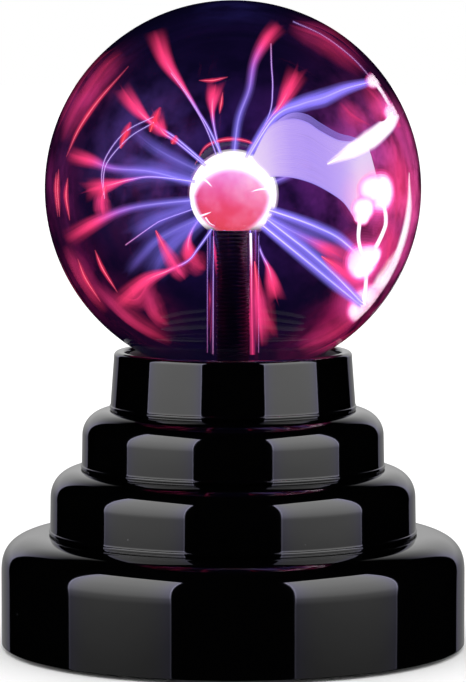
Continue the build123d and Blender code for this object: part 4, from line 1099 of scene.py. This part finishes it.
# Light that lies along the glass: kind, near or far side, and its way.
ON_GLASS = (
    ("thread", 1, ((-0.42, 0.42), (-0.57, 0.34), (-0.67, 0.215), (-0.70, 0.11), (-0.69, 0.0))),
    ("thread", 1, ((-0.42, 0.39), (-0.55, 0.31), (-0.66, 0.19), (-0.69, 0.10), (-0.685, -0.02))),
    ("coral", 1, ((-0.44, 0.34), (-0.415, 0.41), (-0.385, 0.47))),
    ("coral", 1, ((-0.60, 0.25), (-0.57, 0.33), (-0.545, 0.39))),
    ("coral", 1, ((-0.325, 0.28), (-0.31, 0.30), (-0.30, 0.325))),
    ("flame", 1, ((-0.68, 0.05), (-0.70, -0.03), (-0.69, -0.12))),
    ("flame", 1, ((-0.41, -0.18), (-0.36, -0.28), (-0.30, -0.38), (-0.25, -0.44))),
    ("blush", -1, ((-0.32, -0.40), (-0.22, -0.48), (-0.16, -0.52))),
    ("blush", -1, ((-0.47, -0.55), (-0.56, -0.66), (-0.66, -0.66))),
    ("blush", -1, ((-0.50, -0.60), (-0.46, -0.74), (-0.38, -0.82))),
    ("sliver", 1, ((-0.56, 0.68), (-0.72, 0.50), (-0.83, 0.34), (-0.90, 0.19))),
    ("blush", 1, ((-0.94, 0.26), (-0.86, 0.44), (-0.72, 0.66), (-0.60, 0.76))),
    ("sliver", 1, ((-0.985, 0.10), (-0.99, 0.0), (-0.98, -0.15))),
    ("sliver", 1, ((-0.95, 0.12), (-0.955, 0.0), (-0.945, -0.14))),
    ("sliver", 1, ((-0.89, 0.08), (-0.90, -0.02), (-0.88, -0.15))),
    ("sliver", 1, ((-0.74, -0.30), (-0.70, -0.40), (-0.62, -0.53))),
    ("sliver", 1, ((-0.84, -0.36), (-0.80, -0.47), (-0.72, -0.60))),
    ("blush", 1, ((-0.93, -0.30), (-0.84, -0.50), (-0.70, -0.68))),
    ("blush", -1, ((-0.80, -0.55), (-0.60, -0.76), (-0.35, -0.90))),
    ("sliver", -1, ((-0.20, 0.60), (-0.12, 0.60), (-0.03, 0.62))),
    ("sliver", -1, ((-0.08, 0.40), (-0.07, 0.46), (-0.06, 0.53))),
    ("thread", 1, ((0.33, 0.93), (0.50, 0.86), (0.65, 0.73), (0.77, 0.60))),
    ("blush", 1, ((0.30, 0.90), (0.52, 0.82), (0.72, 0.64))),
    ("white", 1, ((0.79, 0.64), (0.85, 0.54), (0.91, 0.43))),
    ("hot", 1, ((0.91, 0.43), (0.82, 0.355), (0.73, 0.29), (0.63, 0.235), (0.50, 0.17))),
    ("streak", 1, ((0.82, 0.64), (0.87, 0.55), (0.925, 0.45), (0.955, 0.36))),
    ("blush", -1, ((0.74, 0.60), (0.84, 0.48), (0.86, 0.36))),
    ("blush", -1, ((0.62, 0.48), (0.70, 0.40), (0.80, 0.34))),
    ("blush", 1, ((0.84, 0.34), (0.90, 0.12), (0.90, -0.10))),
    ("blush", 1, ((0.92, 0.20), (0.95, 0.0), (0.93, -0.22))),
    ("blush", 1, ((0.86, 0.24), (0.89, 0.04), (0.87, -0.20))),
    ("blush", 1, ((0.80, -0.10), (0.84, -0.26), (0.82, -0.46))),
    ("rim", 1, ((0.965, 0.10), (0.965, -0.10), (0.94, -0.28), (0.88, -0.45), (0.78, -0.60))),
    ("rim", 1, ((0.985, -0.15), (0.95, -0.32), (0.89, -0.47), (0.80, -0.61), (0.70, -0.73))),
    ("hot", 1, ((0.72, -0.66), (0.79, -0.59), (0.85, -0.50), (0.90, -0.41), (0.93, -0.30))),
    ("blush", 1, ((0.86, -0.15), (0.84, -0.34), (0.76, -0.54))),
    ("flame", 1, ((0.47, -0.32), (0.56, -0.39), (0.69, -0.50))),
    ("white", 1, ((0.675, -0.05), (0.675, -0.14), (0.67, -0.23), (0.69, -0.32), (0.715, -0.38))),
    ("white", 1, ((0.79, 0.0), (0.82, -0.13), (0.80, -0.22), (0.715, -0.38))),
    ("white", 1, ((0.715, -0.38), (0.715, -0.49), (0.71, -0.60), (0.73, -0.64))),
    ("blush", 1, ((0.35, -0.86), (0.55, -0.78), (0.74, -0.66))),
    ("blush", -1, ((0.14, -0.62), (0.18, -0.76), (0.24, -0.88))),
)

# Balls of white light where strong streamers meet the near glass: right, up, radius, brightness.
HOT_SPOTS = (
    (0.79, 0.01, 0.120, 2.0), (0.745, 0.03, 0.080, 1.8), (0.70, -0.075, 0.072, 1.8),
    (0.69, -0.12, 0.048, 1.6), (0.705, -0.37, 0.110, 2.0), (0.745, -0.335, 0.072, 1.8),
    (0.675, -0.395, 0.072, 1.8), (0.74, -0.625, 0.105, 2.0), (0.69, -0.665, 0.072, 1.8),
    (0.79, -0.60, 0.085, 1.8), (0.81, 0.63, 0.050, 1.6), (0.90, 0.44, 0.060, 1.8),
)

# The wider pink glow round them: right, up, radius, brightness.
HALOS = (
    (0.77, -0.01, 0.200, 0.16), (0.71, -0.37, 0.200, 0.16),
    (0.74, -0.64, 0.200, 0.16), (0.88, 0.47, 0.130, 0.14),
)


class PLASMA_OT_streamers(bpy.types.Operator):
    """Model the streamers that run from the electrode to the glass"""

    bl_idname = "plasma_ball.streamers"
    bl_label = "Streamers"

    def execute(self, context):
        globe = context.scene.plasma_globe
        electrode = within(0.0, -0.03, 0.0)
        lateness, root_depth = 1.3, 0.35
        blades = []
        for number, (kind, side, depth, way) in enumerate(STREAMERS):
            end = on_glass(*way[-1], side)
            end_depth = -end.y / (globe.radius - globe.wall)
            points = []
            for step, (right, up) in enumerate(way[:-1]):
                share = (step / (len(way) - 1)) ** lateness
                points.append(within(right, up, depth + (end_depth - depth) * share))
            points[0] = points[0].lerp(electrode, root_depth)
            blades += ribbon(f"streamer_{number}", kind, [*points, end])
        piece = joined("plasma_streamers", blades)
        finish(piece, streamer_glow(context.scene.plasma_glow), "plasma_glow")
        return {"FINISHED"}


class PLASMA_OT_glass_light(bpy.types.Operator):
    """Model the light that spreads along the inside of the glass"""

    bl_idname = "plasma_ball.glass_light"
    bl_label = "Light on the Glass"

    def execute(self, context):
        ways = [(kind, [on_glass(*place, side) for place in way]) for kind, side, way in ON_GLASS]
        ways += [(kind, [within(*place) for place in way]) for kind, way in IN_STEM + ON_BALL]
        blades = []
        for number, (kind, points) in enumerate(ways):
            blades += ribbon(f"glass_light_{number}", kind, points, blades=2, steps=24)
        piece = joined("plasma_on_glass", blades)
        finish(piece, streamer_glow(context.scene.plasma_glow), "plasma_glow")
        return {"FINISHED"}


def sheet(name, upper, lower, heat, steps=48, rows=16):
    """A veil of light stretched between two curves, which sags towards the front."""
    deepest = 1.2 * MM
    top = curve_through(upper, steps)
    bottom = curve_through(lower, steps)
    piece = fresh(name, "grid", x_subdivisions=steps, y_subdivisions=rows, size=1)
    places = [vertex.co.x + 0.5 for vertex in piece.data.vertices]
    carry(piece, level=[eased(heat, t) for t in places])
    for vertex, t in zip(piece.data.vertices, places):
        share = vertex.co.y + 0.5
        step = round(t * steps)
        sag = Vector((0, -1, 0)) * sin(pi * share) * deepest
        vertex.co = bottom[step].lerp(top[step], share) + sag
    return piece


# The broad veil's top and bottom borders, from the electrode on, as (right, up, towards the front) shares.
SHEET_TOP = (
    (0.10, 0.16, 0.05), (0.20, 0.35, 0.12), (0.31, 0.425, 0.2), (0.40, 0.425, 0.3), (0.475, 0.38, 0.38),
    (0.57, 0.326, 0.45), (0.65, 0.304, 0.5), (0.72, 0.27, 0.52), (0.76, 0.14, 0.55),
)
SHEET_BOTTOM = (
    (0.14, 0.06, 0.05), (0.24, 0.072, 0.10), (0.34, 0.066, 0.18), (0.44, 0.039, 0.28), (0.53, -0.006, 0.36),
    (0.60, -0.055, 0.42), (0.646, -0.12, 0.5), (0.66, -0.15, 0.54), (0.68, -0.15, 0.58),
)


class PLASMA_OT_sheets(bpy.types.Operator):
    """Model the broad veils of discharge on the right"""

    bl_idname = "plasma_ball.sheets"
    bl_label = "Sheets"

    def execute(self, context):
        upper = [within(*place) for place in SHEET_TOP]
        lower = [within(*place) for place in SHEET_BOTTOM]
        upper.append(on_glass(0.79, 0.0, 1))
        lower.append(on_glass(0.70, -0.14, 1))
        drops = (0.0, 0.0, 0.9, 1.4, 1.5, 1.3, 0.9, 0.3, 0.0, 0.0)
        border = [point - Vector((0, 0, drop * MM)) for point, drop in zip(upper, drops)]
        plasma = context.scene.plasma_glow
        main_heat = (2.3, 1.7, 1.25, 1.15, 1.2, 1.4, 1.8, 2.4, 2.8, 3.0)
        edge_heat = (1.3, 0.9, 0.65, 0.6, 0.6, 0.7, 0.9)
        main = sheet("plasma_sheet_main", border, lower, main_heat)
        finish(main, sheet_glow(plasma), "plasma_glow")
        edge = sheet("plasma_sheet_border", upper[1:8], border[1:8], edge_heat)
        finish(edge, sheet_glow(plasma), "plasma_glow")
        return {"FINISHED"}


class PLASMA_OT_hot_spots(bpy.types.Operator):
    """Model the white balls of light where strong streamers meet the glass"""

    bl_idname = "plasma_ball.hot_spots"
    bl_label = "Hot Spots"

    def execute(self, context):
        radius = context.scene.plasma_globe.radius
        pink_share, halo_shells = 0.84, 14
        balls = []
        for number, (right, up, size, heat) in enumerate(HOT_SPOTS):
            balls += lit_ball(f"hot_{number}", on_glass(right, up, 1), size * radius, heat)
        for number, (right, up, size, heat) in enumerate(HALOS):
            centre = on_glass(right, up, 1)
            balls += lit_ball(f"halo_{number}", centre, size * radius, heat, pink_share, halo_shells)
        piece = joined("plasma_hot_spots", balls)
        finish(piece, hot_glow(context.scene.plasma_glow), "plasma_glow")
        return {"FINISHED"}


# ---------------------------------------------------------------- finishes of the CAD pieces
class PLASMA_OT_finishes(bpy.types.Operator):
    """Give each CAD piece that stays its own finish"""

    bl_idname = "plasma_ball.finishes"
    bl_label = "Finishes"

    def execute(self, context):
        finishes = {
            "satin_black_cover": moulded("satin_black", (0.012, 0.012, 0.013), 0.42, 2600.0, 0.00005),
            "knob_plastic": moulded("knob_black", (0.022, 0.022, 0.024), 0.35),
            "inlet_plastic": moulded("inlet_black", (0.010, 0.010, 0.011), 0.30),
            "seal_rubber": moulded("seal_rubber", (0.006, 0.006, 0.006), 0.55, 5000.0),
            "foot_rubber": moulded("foot_rubber", (0.020, 0.020, 0.021), 0.75, 4000.0, 0.00008),
            "white_adhesive": moulded("cured_silicone", (0.62, 0.61, 0.56), 0.35, 900.0, 0.0002),
            "ferrite": moulded("ferrite", (0.025, 0.025, 0.028), 0.55, 6000.0),
            "bobbin_plastic": moulded("bobbin_plastic", (0.02, 0.02, 0.02), 0.45),
            "black_epoxy": moulded("black_epoxy", (0.012, 0.012, 0.013), 0.5),
            "winding_tape": moulded("winding_tape", (0.75, 0.45, 0.03), 0.2, 800.0),
            "capacitor_sleeve": moulded("capacitor_sleeve", (0.01, 0.02, 0.10), 0.25, 1200.0),
            "film_capacitor_dip": moulded("capacitor_dip", (0.32, 0.05, 0.02), 0.22, 700.0),
            "resistor_lacquer": moulded("resistor_lacquer", (0.42, 0.31, 0.16), 0.3, 1500.0),
            "red_wire": moulded("red_insulation", (0.42, 0.01, 0.01), 0.35, 1500.0),
            "black_wire": moulded("black_insulation", (0.01, 0.01, 0.01), 0.35, 1500.0),
            "white_wire": moulded("silicone_insulation", (0.62, 0.62, 0.60), 0.4, 1500.0),
            "zinc_steel": drawn_metal("zinc_steel", (0.55, 0.56, 0.58), 0.28),
            "nickel_plate": drawn_metal("nickel_plate", (0.66, 0.62, 0.55), 0.22),
            "sink_aluminium": drawn_metal("mill_aluminium", (0.70, 0.70, 0.72), 0.3, (1.0, 30.0, 1.0)),
            "switch_steel": drawn_metal("tinned_steel", (0.58, 0.58, 0.57), 0.3),
            "coil_wire": coil_wire(),
            "cell_wrap": cell_wrap(),
            "board_laminate": board_laminate(),
        }
        replaced = {"base_shell", "glass_globe", "electrode_glass", "electrode_coating"}
        for entry in frame["record"]["subparts"]:
            if entry["node"] in replaced:
                continue
            node = frame["nodes"][entry["node"]]
            material = finishes[entry["material_slot"]]
            if not node.data.materials:
                node.data.materials.append(material)
            for number in range(len(node.material_slots)):
                node.material_slots[number].material = material
        return {"FINISHED"}


# ---------------------------------------------------------------- the stage
def panel_light(name, azimuth, distance, width, low, high):
    """A tall light panel that faces the object and stays out of the camera's sight."""
    piece = fresh(name, "plane", size=1)
    piece.scale = (width, high - low, 1)
    piece.rotation_euler = (pi / 2, 0, azimuth)
    piece.location = (distance * sin(azimuth), -distance * cos(azimuth), (low + high) / 2)
    apply_place(piece)
    piece.visible_camera = False
    piece.visible_transmission = False
    piece.visible_diffuse = False
    piece.visible_shadow = False
    return piece


# The width and the lower and upper edges of the two light panels, and of the one behind the object.
PANEL_WIDTH, PANEL_LOW, PANEL_HIGH = 1.30, -0.95, 1.30
SURROUND_WIDTH, SURROUND_LOW, SURROUND_HIGH, SURROUND_DISTANCE = 2.1, -0.8, 1.5, 1.5

# Their brightness at each height, from below the table to over the globe.
PANEL_LEVELS = ((-0.28, 0.40), (-0.205, 0.46), (-0.165, 0.70), (-0.105, 1.28), (-0.07, 1.50), (0.02, 2.65),
                (0.20, 3.5), (0.60, 4.6), (1.25, 5.4))
SURROUND_LEVELS = ((-0.40, 0.22), (-0.05, 0.34), (0.25, 0.80), (0.60, 0.90), (1.10, 0.45), (1.45, 0.0))


def panel_glow(name, levels, frame_light):
    """The light of a panel: brighter with height, lavender towards its sides, with a thin bright frame."""
    shader = Shader(name)
    tree = shader.tree
    tree.nodes.remove(shader.surface)
    place = shader.add("ShaderNodeTexCoord")
    _, _, height = parts(tree, place.outputs["Object"])
    low, high = levels[0][0], levels[-1][0]
    most = max(level for _, level in levels)
    rise = between(tree, height, low, high)
    stops = [((z - low) / (high - low), (level / most,) * 3) for z, level in levels]
    level = maths(tree, "MULTIPLY", ramp(tree, rise, stops), most)
    off_x, off_y = (
        maths(tree, "ABSOLUTE", maths(tree, "MULTIPLY_ADD", part, 2.0, -1.0))
        for part in parts(tree, place.outputs["UV"])[:2]
    )
    rim = maths(tree, "GREATER_THAN", maths(tree, "MAXIMUM", off_x, off_y), 0.975)
    level = maths(tree, "MULTIPLY", level, maths(tree, "MULTIPLY_ADD", rim, frame_light, 1.0))
    edge = maths(tree, "POWER", off_x, 5.0)
    tint = ramp(tree, edge, [(0.0, (1.0, 1.0, 1.0)), (0.5, (0.96, 0.94, 1.16)), (1.0, (0.88, 0.86, 1.2))])
    shader.show(shader.add("ShaderNodeEmission", [tint, level]))
    return shader.material


class PLASMA_OT_stage(bpy.types.Operator):
    """Set the camera, the pale floor, the white world, the two light panels and the one behind the object"""

    bl_idname = "plasma_ball.stage"
    bl_label = "Stage"

    def execute(self, context):
        stage = context.scene.plasma_stage
        self.set_camera(context.scene, stage)
        self.set_floor()
        panels = []
        for name, way in (("panel_left", -1), ("panel_right", 1)):
            azimuth = way * stage.panel_angle
            panel = panel_light(name, azimuth, stage.panel_distance, PANEL_WIDTH, PANEL_LOW, PANEL_HIGH)
            panel.data.materials.append(panel_glow(name, PANEL_LEVELS, 0.8))
            panels.append(panel)
        surround = panel_light("surround", pi, SURROUND_DISTANCE, SURROUND_WIDTH, SURROUND_LOW, SURROUND_HIGH)
        surround.data.materials.append(panel_glow("surround", SURROUND_LEVELS, 0.0))
        panels.append(surround)
        self.spare("clear_glass", ("globe_looks", "electrode_glass_looks"), panels)
        self.spare("gloss_base", ("base_shell_looks",), [bpy.data.objects["gas_far_side"]])
        self.set_world(context.scene)
        context.scene.view_settings.view_transform = "Standard"
        context.scene.cycles.transparent_max_bounces = 64
        return {"FINISHED"}

    def spare(self, name, nodes, lights):
        """Keeps some lights out of some pieces: the panels out of the clear glass, the glow out of the base."""
        spared = bpy.data.collections.new(name)
        for node in nodes:
            spared.objects.link(bpy.data.objects[node])
        for entry in spared.collection_objects:
            entry.light_linking.link_state = "EXCLUDE"
        for light in lights:
            light.light_linking.receiver_collection = spared

    def set_camera(self, scene, stage):
        """The camera stands in front, a little above the globe's middle, and looks slightly down."""
        view = bpy.data.cameras.new("camera")
        view.lens = stage.lens
        view.sensor_width = 36.0
        camera = bpy.data.objects.new("camera", view)
        scene.collection.objects.link(camera)
        camera.location = (0.0, -stage.camera_distance, stage.camera_height)
        camera.rotation_euler = (pi / 2 - stage.camera_pitch, 0, 0)
        scene.camera = camera

    def set_floor(self):
        """A wide pale floor, which the gloss of the base doesn't mirror."""
        floor = fresh("floor", "circle", vertices=96, radius=6.0, fill_type="NGON")
        shader = Shader("pale_floor")
        grain = noise(shader.tree, shader.place(), 30.0, 2.0)
        shade = ramp(shader.tree, grain, [(0.0, (0.88,) * 3), (1.0, (0.92,) * 3)])
        shader.set(Base_Color=shade, Roughness=0.9, Specular_IOR_Level=0.0)
        back = shader.add("ShaderNodeNewGeometry").outputs["Backfacing"]
        clear = shader.add("ShaderNodeBsdfTransparent")
        shader.show(shader.add("ShaderNodeMixShader", [back, shader.surface.outputs[0], clear.outputs[0]]))
        floor.data.materials.append(shader.material)
        floor.visible_glossy = False
        floor.visible_transmission = False

    def set_world(self, scene):
        """White to the eye, bright to dull surfaces, and dark in reflections, which show the panels alone."""
        world = bpy.data.worlds.new("studio")
        scene.world = world
        world.use_nodes = True
        tree = world.node_tree
        tree.nodes.clear()
        path = tree.nodes.new("ShaderNodeLightPath")
        mirror = maths(tree, "MAXIMUM", path.outputs["Is Glossy Ray"], path.outputs["Is Transmission Ray"])
        level = maths(tree, "MULTIPLY_ADD", path.outputs["Is Diffuse Ray"], 0.4, 1.0)
        level = maths(tree, "MULTIPLY", level, maths(tree, "SUBTRACT", 1.0, mirror))
        light = add_node(tree, "ShaderNodeBackground", [(1.0, 1.0, 1.0), level])
        output = tree.nodes.new("ShaderNodeOutputWorld")
        tree.links.new(light.outputs[0], output.inputs["Surface"])


class PLASMA_PT_panel(bpy.types.Panel):
    """The steps that build the plasma ball"""

    bl_label = "Plasma Ball"
    bl_idname = "PLASMA_PT_panel"
    bl_space_type = "VIEW_3D"
    bl_region_type = "UI"
    bl_category = "Plasma Ball"

    def draw(self, context):
        for step in STEPS:
            self.layout.operator(step.bl_idname)
        for group_name, _ in SETTINGS:
            settings = getattr(context.scene, group_name)
            box = self.layout.box()
            for name in settings.bl_rna.properties.keys():
                if name not in ("rna_type", "name"):
                    box.prop(settings, name)


SETTINGS = (
    ("plasma_base", BaseSettings), ("plasma_globe", GlobeSettings), ("plasma_glow", PlasmaSettings),
    ("plasma_stage", StageSettings),
)
STEPS = (
    PLASMA_OT_base, PLASMA_OT_globe, PLASMA_OT_electrode, PLASMA_OT_streamers, PLASMA_OT_glass_light,
    PLASMA_OT_sheets, PLASMA_OT_hot_spots, PLASMA_OT_finishes, PLASMA_OT_stage,
)


def register():
    """Registers the settings, the steps and the sidebar panel."""
    for name, settings in SETTINGS:
        bpy.utils.register_class(settings)
        setattr(bpy.types.Scene, name, PointerProperty(type=settings))
    for step in STEPS:
        bpy.utils.register_class(step)
    bpy.utils.register_class(PLASMA_PT_panel)


def unregister():
    """Removes what register added."""
    bpy.utils.unregister_class(PLASMA_PT_panel)
    for step in reversed(STEPS):
        bpy.utils.unregister_class(step)
    for name, settings in reversed(SETTINGS):
        delattr(bpy.types.Scene, name)
        bpy.utils.unregister_class(settings)


def main():
    """Builds the looks step by step."""
    register()
    for step in STEPS:
        family, name = step.bl_idname.split(".")
        getattr(getattr(bpy.ops, family), name)()
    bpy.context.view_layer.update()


if __name__ == "__main__":
    main()
